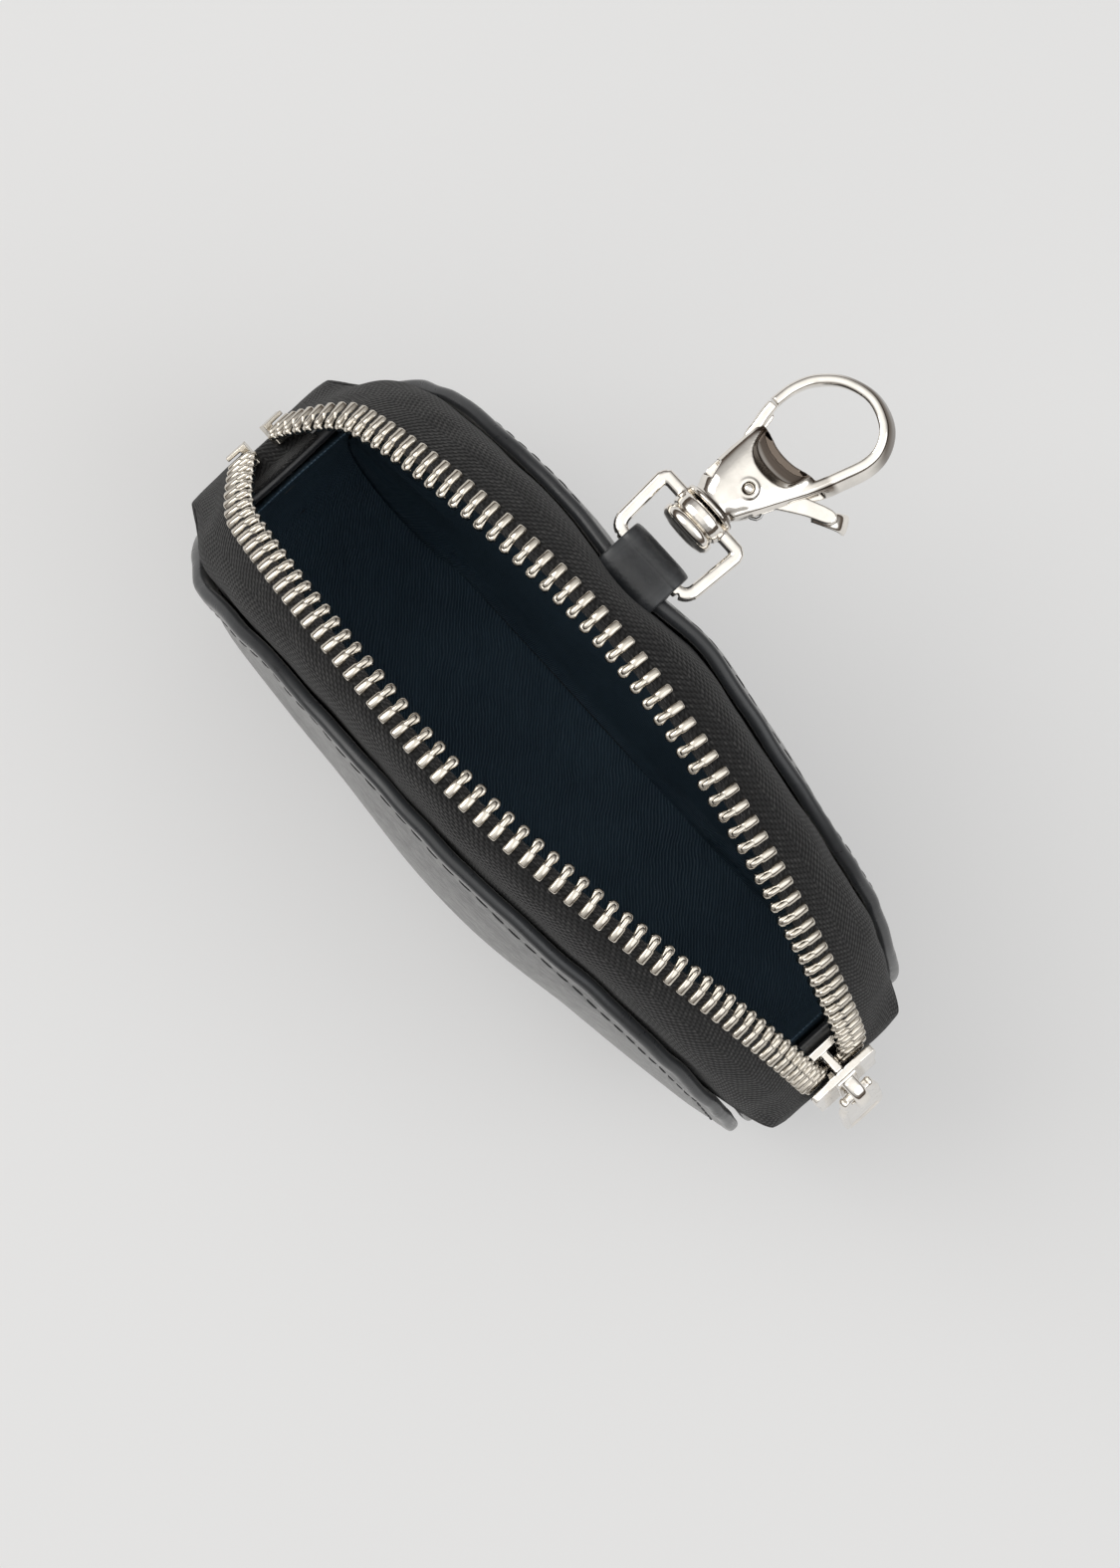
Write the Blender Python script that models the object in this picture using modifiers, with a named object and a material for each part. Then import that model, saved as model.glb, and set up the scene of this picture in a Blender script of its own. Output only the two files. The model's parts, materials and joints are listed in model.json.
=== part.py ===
"""Half-moon zip coin purse standing on its narrow base with its mouth open, and its trigger snap hook.

Metres, +Z up, +X along the purse toward the slider, +Y toward the side that carries the hook.
The origin is the centre of the underside. The zip runs over an arch in the XZ plane.
"""

import math

import bmesh
import bpy
from mathutils import Matrix, Vector

MM = 0.001
GAP = 0.3 * MM

# Leather body
HALF_LENGTH = 51.5 * MM
HALF_DEPTH = 12.5 * MM
ARCH_Z = 31.0 * MM
CORNER_R = 22.0 * MM
PANEL_T = 1.8 * MM
BELLY = 4.5 * MM
TOP_TAPER = 3.5 * MM
GUSSET_HALF_WIDTH = 11.2 * MM

# Mouth: each side turns about its lower edge, and the turn fades out toward both ends of the zip
CLOSE_SLOPE = 0.1219
RIGHT_FAR_X = 90.0 * MM
SPLIT_X = -14.0 * MM
LEFT_FADE_START = -41.0 * MM
LEFT_FADE_END = -22.0 * MM
LEFT_FADE_AXIS = (0.95, 0.316)

# Zip
ZIP_R = 54.4 * MM
ZIP_Z = 36.0 * MM
TOOTH_PITCH = 2.3 * MM
TOOTH_LENGTH = 3.7 * MM
TOOTH_WIDTH = 1.15 * MM
TOOTH_HEIGHT = 2.0 * MM
ROW_CLOSED = 1.35 * MM
ROW_FIRST_DEG = -76.0
ROW_LAST_DEG = 74.5
CORD_R = 0.75 * MM
CORD_OFFSET = 1.1 * MM
CORD_FIRST_DEG = -80.0
CORD_LAST_DEG = 86.0
TAPE_T = 0.6 * MM
TAPE_START = 2.4 * MM
TAPE_TUCK = 5.0 * MM
TAPE_INSET = 1.75 * MM
TAPE_FIRST_DEG = -84.0
TAPE_LAST_DEG = 88.0
TAPE_END_HALF_WIDTH = 11.0 * MM
LINING_T = 0.5 * MM
LINING_INSET = 3.0 * MM
LINING_LAST_DEG = 63.0
TOP_STOP_DEG = -78.3
BOTTOM_STOP_DEG = 84.6

# Slider, at rest against the lower right end
SLIDER_DEG = 77.0
SLIDER_LENGTH = 10.4 * MM
SLIDER_HALF_MOUTH = 5.0 * MM
SLIDER_HALF_TAIL = 4.6 * MM
PLATE_INNER = 1.5 * MM
PLATE_T = 1.0 * MM
BRIDGE_R = 0.75 * MM
PULL_PIVOT = (1.4 * MM, 3.6 * MM)
PULL_LENGTH = 19.0 * MM
PULL_WIDTH = 5.4 * MM
PULL_T = 1.2 * MM

# Loop and trigger snap hook
HOOK_X = -8.5 * MM
HOOK_Z = 81.0 * MM
LOOP_WIDTH = 9.0 * MM
LOOP_T = 1.3 * MM
NEAR_BAR_Y = 22.6 * MM
FAR_BAR_Y = 31.0 * MM
EYE_WIRE_R = 0.8 * MM
SHANK_R = 1.0 * MM
PIN_XY = (-7.0 * MM, 36.8 * MM)
PIN_R = 0.6 * MM
RING_HALF_T = 1.6 * MM
BODY_HALF_T = 2.4 * MM
SLOT_HALF_T = 0.95 * MM
TRIGGER_T = 1.4 * MM

LEATHER = (0.022, 0.024, 0.027)
LINING = (0.005, 0.009, 0.013)
TAPE = (0.035, 0.036, 0.038)
NICKEL = (0.75, 0.72, 0.67)
STEEL = (0.45, 0.45, 0.46)


def clear_scene():
    for obj in list(bpy.data.objects):
        bpy.data.objects.remove(obj, do_unlink=True)


def new_collection(name):
    collection = bpy.data.collections.new(name)
    bpy.context.scene.collection.children.link(collection)
    return collection


def material(name, color, metallic, roughness):
    mat = bpy.data.materials.new(name)
    mat.use_nodes = True
    shader = mat.node_tree.nodes["Principled BSDF"]
    shader.inputs["Base Color"].default_value = (*color, 1.0)
    shader.inputs["Metallic"].default_value = metallic
    shader.inputs["Roughness"].default_value = roughness
    return mat


def smooth(t):
    t = min(max(t, 0.0), 1.0)
    return t * t * (3.0 - 2.0 * t)


# ---------------------------------------------------------------- shape of the purse


def fade(x, z):
    """Share of the full closing turn at (x, z): one left of the crown, falling toward both ends."""
    right = smooth((RIGHT_FAR_X - x) / (RIGHT_FAR_X - SPLIT_X))
    along = LEFT_FADE_AXIS[0] * x + LEFT_FADE_AXIS[1] * z
    left = smooth((along - LEFT_FADE_START) / (LEFT_FADE_END - LEFT_FADE_START))
    return right * left


def zip_point(deg, radius):
    angle = math.radians(deg)
    return radius * math.sin(angle), ZIP_Z + radius * math.cos(angle)


def row_half(deg):
    """Distance of a tooth row's centre line from the centre plane, mouth open."""
    x, z = zip_point(deg, ZIP_R)
    into_slider = smooth((80.0 - deg) / 10.0)
    return ROW_CLOSED + fade(x, z) * CLOSE_SLOPE * z * into_slider


def bottom_z(x, inset=0.0):
    """Height of the body's lower outline, with its rounded corners."""
    beyond = abs(x) - (HALF_LENGTH - CORNER_R)
    if beyond <= 0.0:
        return inset
    radius = CORNER_R - inset
    return CORNER_R - math.sqrt(max(radius * radius - beyond * beyond, 0.0))


def top_z(x):
    return ARCH_Z + math.sqrt(max(HALF_LENGTH * HALF_LENGTH - x * x, 0.0))


def leather_edge_radius(deg):
    """Radius, about the zip's centre, of the leather's top edge."""
    angle = math.radians(deg)
    shift = ZIP_Z - ARCH_Z
    across = shift * math.sin(angle)
    return math.sqrt(HALF_LENGTH * HALF_LENGTH - across * across) - shift * math.cos(angle)


def wall_y(x, z):
    """Distance of a panel's middle surface from the centre plane, mouth open."""
    low, high = bottom_z(x), top_z(x)
    share = min(max((z - low) / max(high - low, MM), 0.0), 1.0)
    bulge = max(1.0 - (x / HALF_LENGTH) ** 2, 0.0)
    closed = HALF_DEPTH - TOP_TAPER * bulge * share * share
    closed += BELLY * bulge * math.sin(math.pi * share)
    return closed + fade(x, z) * CLOSE_SLOPE * z


# ---------------------------------------------------------------- builders


def link(obj, collection, mat):
    collection.objects.link(obj)
    obj.data.materials.append(mat)
    return obj


def mesh_object(name, points, faces, collection, mat):
    mesh = bpy.data.meshes.new(name)
    mesh.from_pydata([tuple(p) for p in points], [], faces)
    mesh.validate()
    return link(bpy.data.objects.new(name, mesh), collection, mat)


def sheet(name, rows, thickness, collection, mat):
    """A thin shell over a grid of points, half its thickness to each side."""
    width = len(rows[0])
    points = [point for row in rows for point in row]
    faces = []
    for i in range(len(rows) - 1):
        for j in range(width - 1):
            first = i * width + j
            faces.append((first, first + 1, first + width + 1, first + width))
    obj = mesh_object(name, points, faces, collection, mat)
    obj.data.shade_smooth()
    solid = obj.modifiers.new("Thickness", "SOLIDIFY")
    solid.thickness = thickness
    solid.offset = 0.0
    solid.use_even_offset = True
    return obj


def box(name, size, matrix, collection, mat):
    bm = bmesh.new()
    bmesh.ops.create_cube(bm, size=1.0, matrix=matrix @ Matrix.Diagonal((*size, 1.0)))
    return from_bmesh(name, bm, collection, mat)


def cylinder(name, start, end, radius, collection, mat, sides=24):
    start, end = Vector(start), Vector(end)
    turn = (end - start).to_track_quat("Z", "Y").to_matrix().to_4x4()
    place = Matrix.Translation((start + end) / 2.0) @ turn
    bm = bmesh.new()
    bmesh.ops.create_cone(
        bm,
        cap_ends=True,
        segments=sides,
        radius1=radius,
        radius2=radius,
        depth=(end - start).length,
        matrix=place,
    )
    obj = from_bmesh(name, bm, collection, mat)
    obj.data.shade_smooth()
    obj.data.set_sharp_from_angle(angle=math.radians(40.0))
    return obj


def from_bmesh(name, bm, collection, mat):
    mesh = bpy.data.meshes.new(name)
    bm.to_mesh(mesh)
    bm.free()
    return link(bpy.data.objects.new(name, mesh), collection, mat)


def curve_object(name, points, cyclic):
    curve = bpy.data.curves.new(name, "CURVE")
    curve.dimensions = "3D"
    spline = curve.splines.new("POLY")
    spline.points.add(len(points) - 1)
    for target, point in zip(spline.points, points):
        target.co = (*point, 1.0)
    spline.use_cyclic_u = cyclic
    obj = bpy.data.objects.new(name, curve)
    bpy.context.scene.collection.objects.link(obj)
    return obj


def as_mesh(obj, name, collection, mat):
    """The evaluated shape of a curve object as a welded mesh, in the curve's place."""
    bpy.context.view_layer.update()
    graph = bpy.context.evaluated_depsgraph_get()
    mesh = bpy.data.meshes.new_from_object(obj.evaluated_get(graph))
    mesh.transform(obj.matrix_world)
    mesh.materials.clear()
    bm = bmesh.new()
    bm.from_mesh(mesh)
    bmesh.ops.remove_doubles(bm, verts=bm.verts, dist=1e-6)
    bmesh.ops.recalc_face_normals(bm, faces=bm.faces)
    bm.to_mesh(mesh)
    bm.free()
    bpy.data.objects.remove(obj, do_unlink=True)
    mesh.name = name
    return link(bpy.data.objects.new(name, mesh), collection, mat)


def wire(name, points, radius, collection, mat, cyclic=False, sides=2):
    obj = curve_object(name + "_path", points, cyclic)
    obj.data.bevel_depth = radius
    obj.data.bevel_resolution = sides
    obj.data.use_fill_caps = not cyclic
    solid = as_mesh(obj, name, collection, mat)
    solid.data.shade_smooth()
    solid.data.set_sharp_from_angle(angle=math.radians(50.0))
    return solid


def plate(name, outline, half_thickness, place, collection, mat):
    """A flat outline given in its own XY plane, extruded to both sides, then placed."""
    obj = curve_object(name + "_outline", [(x, y, 0.0) for x, y in outline], True)
    obj.data.dimensions = "2D"
    obj.data.fill_mode = "BOTH"
    obj.data.extrude = half_thickness
    obj.matrix_world = place
    return as_mesh(obj, name, collection, mat)


def combine(target, helper, operation):
    modifier = target.modifiers.new(helper.name, "BOOLEAN")
    modifier.operation = operation
    modifier.solver = "EXACT"
    modifier.object = helper
    helper.hide_render = True
    helper.display_type = "WIRE"


def bevel(obj, width, segments=2):
    modifier = obj.modifiers.new("Bevel", "BEVEL")
    modifier.width = width
    modifier.segments = segments
    modifier.limit_method = "ANGLE"
    modifier.angle_limit = math.radians(40.0)


def rounded(points, radius, steps=3):
    """A closed XY outline with each corner replaced by a short arc."""
    result = []
    count = len(points)
    for i, corner in enumerate(points):
        here = Vector(corner)
        before = Vector(points[i - 1]) - here
        after = Vector(points[(i + 1) % count]) - here
        reach = min(radius, before.length * 0.45, after.length * 0.45)
        start = here + before.normalized() * reach
        end = here + after.normalized() * reach
        for step in range(steps + 1):
            t = step / steps
            point = start * (1 - t) ** 2 + here * (2 * t * (1 - t)) + end * t * t
            result.append((point.x, point.y))
    return result


def rounded_path(points, radius, steps=3):
    """The same for a closed path of 3D points."""
    result = []
    count = len(points)
    for i, corner in enumerate(points):
        here = Vector(corner)
        before = Vector(points[i - 1]) - here
        after = Vector(points[(i + 1) % count]) - here
        start = here + before.normalized() * radius
        end = here + after.normalized() * radius
        for step in range(steps + 1):
            t = step / steps
            result.append(start * (1 - t) ** 2 + here * (2 * t * (1 - t)) + end * t * t)
    return result


def spread(first, last, count):
    return [first + (last - first) * i / (count - 1) for i in range(count)]


# ---------------------------------------------------------------- leather and lining


def panel(name, side, collection, mat):
    rows = []
    for turn in spread(-88.0, 88.0, 29):
        x = HALF_LENGTH * math.sin(math.radians(turn))
        low, high = bottom_z(x, 0.4 * MM), top_z(x)
        heights = spread(low, high, 10)
        rows.append([(x, side * wall_y(x, z), z) for z in heights])
    return sheet(name, rows, PANEL_T, collection, mat)


def bottom_gusset(collection, mat):
    length = 2.0 * (HALF_LENGTH - CORNER_R) - 2.0 * GAP
    size = (length, 2.0 * GUSSET_HALF_WIDTH, PANEL_T)
    place = Matrix.Translation((0.0, 0.0, PANEL_T / 2.0))
    return box("bottom_gusset", size, place, collection, mat)


def side_gusset(name, end, collection, mat):
    """The strip from the base round the lower corner and up behind the end of the zip tape."""
    mid = PANEL_T / 2.0
    radius = CORNER_R - mid
    corner_x = HALF_LENGTH - CORNER_R
    path = []
    for angle in spread(0.0, 90.0, 8):
        turn = math.radians(angle)
        path.append((corner_x + radius * math.sin(turn), CORNER_R - radius * math.cos(turn)))
    path.append((HALF_LENGTH - mid - 0.1 * MM, 28.0 * MM))
    for deg in spread(90.0, 84.0, 3):
        path.append(zip_point(deg, ZIP_R - 3.1 * MM))
    rows = []
    for x, z in path:
        across = spread(-GUSSET_HALF_WIDTH, GUSSET_HALF_WIDTH, 5)
        rows.append([(end * (x + GAP), y, z) for y in across])
    return sheet(name, rows, PANEL_T, collection, mat)


def base_lining(collection, mat):
    size = (2.0 * 27.0 * MM, 2.0 * 8.6 * MM, LINING_T)
    place = Matrix.Translation((0.0, 0.0, PANEL_T + GAP + LINING_T / 2.0))
    return box("base_lining", size, place, collection, mat)


def rim_section(deg, inset, start, roll):
    """Points from beside the tooth row out over the roll to the leather's edge."""
    edge_r = leather_edge_radius(deg)
    edge_x, edge_z = zip_point(deg, edge_r)
    edge_y = wall_y(edge_x, edge_z) - inset
    first = Vector((row_half(deg) + start, ZIP_R - (inset - TAPE_INSET)))
    last_r = ZIP_R + (edge_r - ZIP_R) * roll
    last = Vector((edge_y * roll + TAPE_END_HALF_WIDTH * (1.0 - roll), last_r))
    shoulder = Vector((last.x, first.y - 0.5 * MM * roll))
    points = []
    for t in spread(0.0, 1.0, 5):
        at = first * (1 - t) ** 2 + shoulder * (2 * t * (1 - t)) + last * t * t
        x, z = zip_point(deg, at.y)
        points.append(Vector((x, at.x, z)))
    return points


def tape(name, side, collection, mat):
    rows = []
    for deg in spread(TAPE_FIRST_DEG, TAPE_LAST_DEG, 40):
        roll = smooth((77.5 - abs(deg)) / 10.0)
        points = rim_section(deg, TAPE_INSET, TAPE_START, roll)
        edge_r = leather_edge_radius(deg)
        for depth in (0.5, 1.0):
            radius = edge_r - TAPE_TUCK * depth
            x, z = zip_point(deg, radius)
            tucked = Vector((x, wall_y(x, z) - TAPE_INSET, z))
            flat_x, flat_z = zip_point(deg, ZIP_R)
            flat = Vector((flat_x, TAPE_END_HALF_WIDTH + depth * 0.6 * MM, flat_z))
            points.append(flat.lerp(tucked, roll))
        rows.append([(p.x, side * p.y, p.z) for p in points])
    return sheet(name, rows, TAPE_T, collection, mat)


def lining(name, side, collection, mat):
    rows = []
    for deg in spread(-LINING_LAST_DEG, LINING_LAST_DEG, 28):
        points = rim_section(deg, LINING_INSET, TAPE_START, 1.0)
        top = points[-1]
        foot_x = 45.0 * MM * math.sin(math.radians(deg * 90.0 / LINING_LAST_DEG))
        foot_z = bottom_z(foot_x, 3.2 * MM)
        for share in spread(0.15, 1.0, 6):
            x = top.x + (foot_x - top.x) * share
            z = top.z + (foot_z - top.z) * share
            points.append(Vector((x, wall_y(x, z) - LINING_INSET, z)))
        rows.append([(p.x, side * p.y, p.z) for p in points])
    return sheet(name, rows, LINING_T, collection, mat)


# ---------------------------------------------------------------- zip


def row_frame(deg, side):
    """Centre, path direction, across direction and outward direction of a tooth row."""
    step = 0.25
    x, z = zip_point(deg, ZIP_R)
    centre = Vector((x, side * row_half(deg), z))
    ahead_x, ahead_z = zip_point(deg + step, ZIP_R)
    ahead = Vector((ahead_x, side * row_half(deg + step), ahead_z))
    angle = math.radians(deg)
    out = Vector((math.sin(angle), 0.0, math.cos(angle)))
    along = (ahead - centre).normalized()
    across = out.cross(along).normalized()
    return centre, across.cross(out), across, out


def frame_matrix(centre, along, across, out):
    turn = Matrix((along, across, out)).transposed().to_4x4()
    return Matrix.Translation(centre) @ turn


def teeth(name, side, collection, cutters, mat):
    """One side's chain: the cord and the teeth clamped on it, as one body."""
    cord = []
    for deg in spread(CORD_FIRST_DEG, CORD_LAST_DEG, 42):
        centre, _, across, _ = row_frame(deg, side)
        cord.append(centre + across * side * CORD_OFFSET)
    chain = wire(name, cord, CORD_R, collection, mat, sides=0)
    pitch = math.degrees(TOOTH_PITCH / ZIP_R)
    shift = 0.0 if side > 0 else pitch / 2.0
    bm = bmesh.new()
    deg = ROW_FIRST_DEG + shift
    size = Matrix.Diagonal((TOOTH_WIDTH, TOOTH_LENGTH, TOOTH_HEIGHT, 1.0))
    while deg <= ROW_LAST_DEG:
        place = frame_matrix(*row_frame(deg, side))
        bmesh.ops.create_cube(bm, size=1.0, matrix=place @ size)
        deg += pitch
    combine(chain, from_bmesh(name + "_set", bm, cutters, mat), "UNION")
    return chain


def slot_boxes(name, sides, place, start, collection, mat):
    """Boxes that open a clamp toward each side given, to clear the cord and the tape."""
    made = []
    for side in sides:
        reach = 8.0 * MM
        middle = Matrix.Translation((0.0, side * (start + reach / 2.0), 0.0))
        size = (8.0 * MM, reach, 2.1 * MM)
        made.append(box(f"{name}_slot_{len(made)}", size, place @ middle, collection, mat))
    return made


def top_stop(name, side, collection, cutters, mat):
    place = frame_matrix(*row_frame(TOP_STOP_DEG, side))
    shifted = place @ Matrix.Translation((0.0, side * 0.5 * MM, 0.0))
    stop = box(name, (2.2 * MM, 3.0 * MM, 3.2 * MM), shifted, collection, mat)
    slots = slot_boxes(name, (side,), place, 0.0, cutters, mat)
    combine(stop, slots[0], "DIFFERENCE")
    return stop


def arc_place(deg, along=0.0, across=0.0, out=0.0):
    """Placement on the arch: x along the travel, y across the purse, z outward."""
    angle = math.radians(deg)
    turn = Matrix.Rotation(angle, 4, "Y")
    x, z = zip_point(deg, ZIP_R)
    return Matrix.Translation((x, 0.0, z)) @ turn @ Matrix.Translation((along, across, out))


def bottom_stop(collection, cutters, mat):
    place = arc_place(BOTTOM_STOP_DEG)
    stop = box("bottom_stop", (2.4 * MM, 7.4 * MM, 3.2 * MM), place, collection, mat)
    for slot in slot_boxes("bottom_stop", (-1.0, 1.0), place, 1.25 * MM, cutters, mat):
        combine(stop, slot, "DIFFERENCE")
    return stop


# ---------------------------------------------------------------- slider


def slider_outline():
    half = SLIDER_LENGTH / 2.0
    corners = [
        (-half, -SLIDER_HALF_MOUTH * 0.8),
        (-half * 0.55, -SLIDER_HALF_MOUTH),
        (half * 0.2, -SLIDER_HALF_TAIL),
        (half, -SLIDER_HALF_TAIL),
        (half, SLIDER_HALF_TAIL),
        (half * 0.2, SLIDER_HALF_TAIL),
        (-half * 0.55, SLIDER_HALF_MOUTH),
        (-half, SLIDER_HALF_MOUTH * 0.8),
    ]
    return rounded(corners, 1.0 * MM, 2)


def slider_body(collection, cutters, mat):
    """Two plates joined by the wedge, with turned-in side flanges and the bridge on top."""
    middle = PLATE_INNER + PLATE_T / 2.0
    outline = slider_outline()
    upper = arc_place(SLIDER_DEG, out=middle)
    lower = arc_place(SLIDER_DEG, out=-middle)
    body = plate("slider_body", outline, PLATE_T / 2.0, upper, collection, mat)
    under = plate("slider_under_plate", outline, PLATE_T / 2.0, lower, cutters, mat)
    half = SLIDER_LENGTH / 2.0
    wedge_outline = [
        (-half + 0.2 * MM, 0.0),
        (-half + 1.4 * MM, -0.42 * MM),
        (-half + 2.8 * MM, -0.25 * MM),
        (-half + 2.8 * MM, 0.25 * MM),
        (-half + 1.4 * MM, 0.42 * MM),
    ]
    wedge_place = arc_place(SLIDER_DEG)
    wedge = plate("slider_wedge", wedge_outline, PLATE_INNER + 0.2 * MM, wedge_place, cutters, mat)
    combine(body, wedge, "UNION")
    combine(body, under, "UNION")
    flange_length = half - 0.9 * MM
    size = (flange_length, 0.7 * MM, 1.1 * MM)
    for side in (-1.0, 1.0):
        for level in (-1.0, 1.0):
            place = arc_place(
                SLIDER_DEG,
                along=half - 0.15 * MM - flange_length / 2.0,
                across=side * (SLIDER_HALF_TAIL - 0.45 * MM),
                out=level * (PLATE_INNER - 0.35 * MM),
            )
            flange = box(f"slider_flange_{side:+.0f}_{level:+.0f}", size, place, cutters, mat)
            combine(body, flange, "UNION")
    arch = [(-3.4, 2.0), (-3.4, 3.9), (-2.6, 5.0), (-1.4, 5.5)]
    arch += [(-x, z) for x, z in reversed(arch)]
    place = arc_place(SLIDER_DEG)
    path = [place @ Vector((x * MM, 0.0, z * MM)) for x, z in arch]
    bridge = wire("slider_bridge", path, BRIDGE_R, cutters, mat)
    combine(body, bridge, "UNION")
    return body


def pull_tab(collection, cutters, mat):
    """The tab hanging from the bridge: its crossbar lies under the bridge, its window round one leg."""
    half = PULL_WIDTH / 2.0
    root = 1.9 * MM
    corners = [
        (-0.6 * MM, -root),
        (4.0 * MM, -root),
        (6.0 * MM, -half),
        (PULL_LENGTH, -half),
        (PULL_LENGTH, half),
        (6.0 * MM, half),
        (4.0 * MM, root),
        (-0.6 * MM, root),
    ]
    along, out = PULL_PIVOT
    place = arc_place(SLIDER_DEG, along=along, out=out)
    outline = rounded(corners, 1.0 * MM)
    tab = plate("pull_tab", outline, PULL_T / 2.0, place, collection, mat)
    window = box(
        "pull_window",
        (2.9 * MM, 2.1 * MM, 4.0 * MM),
        place @ Matrix.Translation((2.05 * MM, 0.0, 0.0)),
        cutters,
        mat,
    )
    combine(tab, window, "DIFFERENCE")
    return tab


# ---------------------------------------------------------------- loop and hook


def outer_face(z):
    """Distance from the centre plane that clears the outside of the back panel beside the loop."""
    return wall_y(HOOK_X, z) + PANEL_T / 2.0 + 0.5 * MM


def loop_strap(collection, cutters, mat):
    """The leather loop: over the back panel's edge, round the eye's near bar, and back."""
    edge = top_z(HOOK_X + LOOP_WIDTH / 2.0)
    wall = wall_y(HOOK_X, edge)
    low = edge + GAP
    outer = EYE_WIRE_R + 0.35 * MM + LOOP_T
    top = HOOK_Z + outer
    tail = HOOK_Z - 7.5 * MM
    corners = [
        (wall - 0.8 * MM, low),
        (wall - 0.8 * MM, low + 1.0 * MM),
        (NEAR_BAR_Y - outer * 0.6, top + 0.25 * MM),
        (NEAR_BAR_Y + outer * 0.5, top),
        (NEAR_BAR_Y + outer, HOOK_Z + outer * 0.5),
        (NEAR_BAR_Y + outer, HOOK_Z - outer * 0.5),
        (NEAR_BAR_Y + outer * 0.4, HOOK_Z - outer),
        (outer_face(tail + 3.5 * MM) + LOOP_T, HOOK_Z - outer - 1.5 * MM),
        (outer_face(tail) + LOOP_T, tail),
        (outer_face(tail), tail),
        (outer_face(tail + 2.5 * MM), tail + 2.5 * MM),
        (outer_face(tail + 5.0 * MM), tail + 5.0 * MM),
        (outer_face(edge), low),
    ]
    turn = Matrix(((0.0, 0.0, 1.0), (1.0, 0.0, 0.0), (0.0, 1.0, 0.0))).to_4x4()
    place = Matrix.Translation((HOOK_X, 0.0, 0.0)) @ turn
    strap = plate("loop_strap", rounded(corners, 1.2 * MM), LOOP_WIDTH / 2.0, place, collection, mat)
    reach = LOOP_WIDTH
    hole = cylinder(
        "loop_hole",
        (HOOK_X - reach, NEAR_BAR_Y, HOOK_Z),
        (HOOK_X + reach, NEAR_BAR_Y, HOOK_Z),
        EYE_WIRE_R + 0.35 * MM,
        cutters,
        mat,
    )
    combine(strap, hole, "DIFFERENCE")
    return strap


def swivel_eye(collection, cutters, mat):
    """The trapezoid wire eye, its near bar in the leather loop, with the swivel boss on its far bar."""
    near, far = 5.5 * MM, 6.3 * MM
    corners = [
        (HOOK_X - near, NEAR_BAR_Y, HOOK_Z),
        (HOOK_X - far, FAR_BAR_Y, HOOK_Z),
        (HOOK_X + far, FAR_BAR_Y, HOOK_Z),
        (HOOK_X + near, NEAR_BAR_Y, HOOK_Z),
    ]
    path = rounded_path(corners, 1.4 * MM)
    eye = wire("swivel_eye", path, EYE_WIRE_R, collection, mat, cyclic=True)
    start = (HOOK_X, FAR_BAR_Y - 1.0 * MM, HOOK_Z)
    end = (HOOK_X, FAR_BAR_Y + 1.0 * MM, HOOK_Z)
    boss = cylinder("eye_boss", start, end, 2.3 * MM, cutters, mat)
    far_start = (HOOK_X, FAR_BAR_Y - 3.0 * MM, HOOK_Z)
    far_end = (HOOK_X, FAR_BAR_Y + 3.0 * MM, HOOK_Z)
    hole = cylinder("eye_hole", far_start, far_end, SHANK_R + 0.15 * MM, cutters, mat)
    combine(eye, boss, "UNION")
    combine(eye, hole, "DIFFERENCE")
    return eye


def swivel_rivet(collection, cutters, mat):
    """The rivet: head inside the eye, shank through the boss into the hook body."""
    inner = FAR_BAR_Y - 1.3 * MM
    shank_start = (HOOK_X, inner - 0.5 * MM, HOOK_Z)
    shank_end = (HOOK_X, FAR_BAR_Y + 3.8 * MM, HOOK_Z)
    rivet = cylinder("swivel_rivet", shank_start, shank_end, SHANK_R, collection, mat)
    head_start = (HOOK_X, inner - 1.5 * MM, HOOK_Z)
    head_end = (HOOK_X, inner, HOOK_Z)
    head = cylinder("rivet_head", head_start, head_end, 1.9 * MM, cutters, mat)
    combine(rivet, head, "UNION")
    return rivet


HOOK_OUTLINE = [
    (-12.3, 33.3),
    (-12.9, 36.5),
    (-12.4, 40.2),
    (-10.6, 40.9),
    (-8.6, 40.4),
    (-5.6, 40.6),
    (-2.8, 42.0),
    (-0.6, 44.4),
    (0.3, 47.6),
    (-0.2, 50.0),
    (-1.6, 52.0),
    (-3.8, 53.0),
    (-6.4, 52.6),
    (-8.8, 50.9),
    (-10.3, 48.4),
    (-10.8, 45.7),
    (-12.7, 44.6),
    (-12.6, 48.6),
    (-11.0, 51.6),
    (-8.4, 53.9),
    (-5.2, 55.1),
    (-1.8, 54.6),
    (0.8, 52.6),
    (2.1, 49.8),
    (2.0, 46.2),
    (0.6, 42.8),
    (-1.6, 39.0),
    (-4.0, 34.6),
    (-4.7, 33.3),
]


CHEEK_OUTLINE = [
    (-12.1, 33.5),
    (-12.6, 36.5),
    (-12.2, 39.9),
    (-10.5, 40.6),
    (-8.6, 40.1),
    (-5.6, 40.3),
    (-3.0, 41.2),
    (-2.1, 39.0),
    (-4.3, 34.8),
    (-5.0, 33.5),
]


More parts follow.
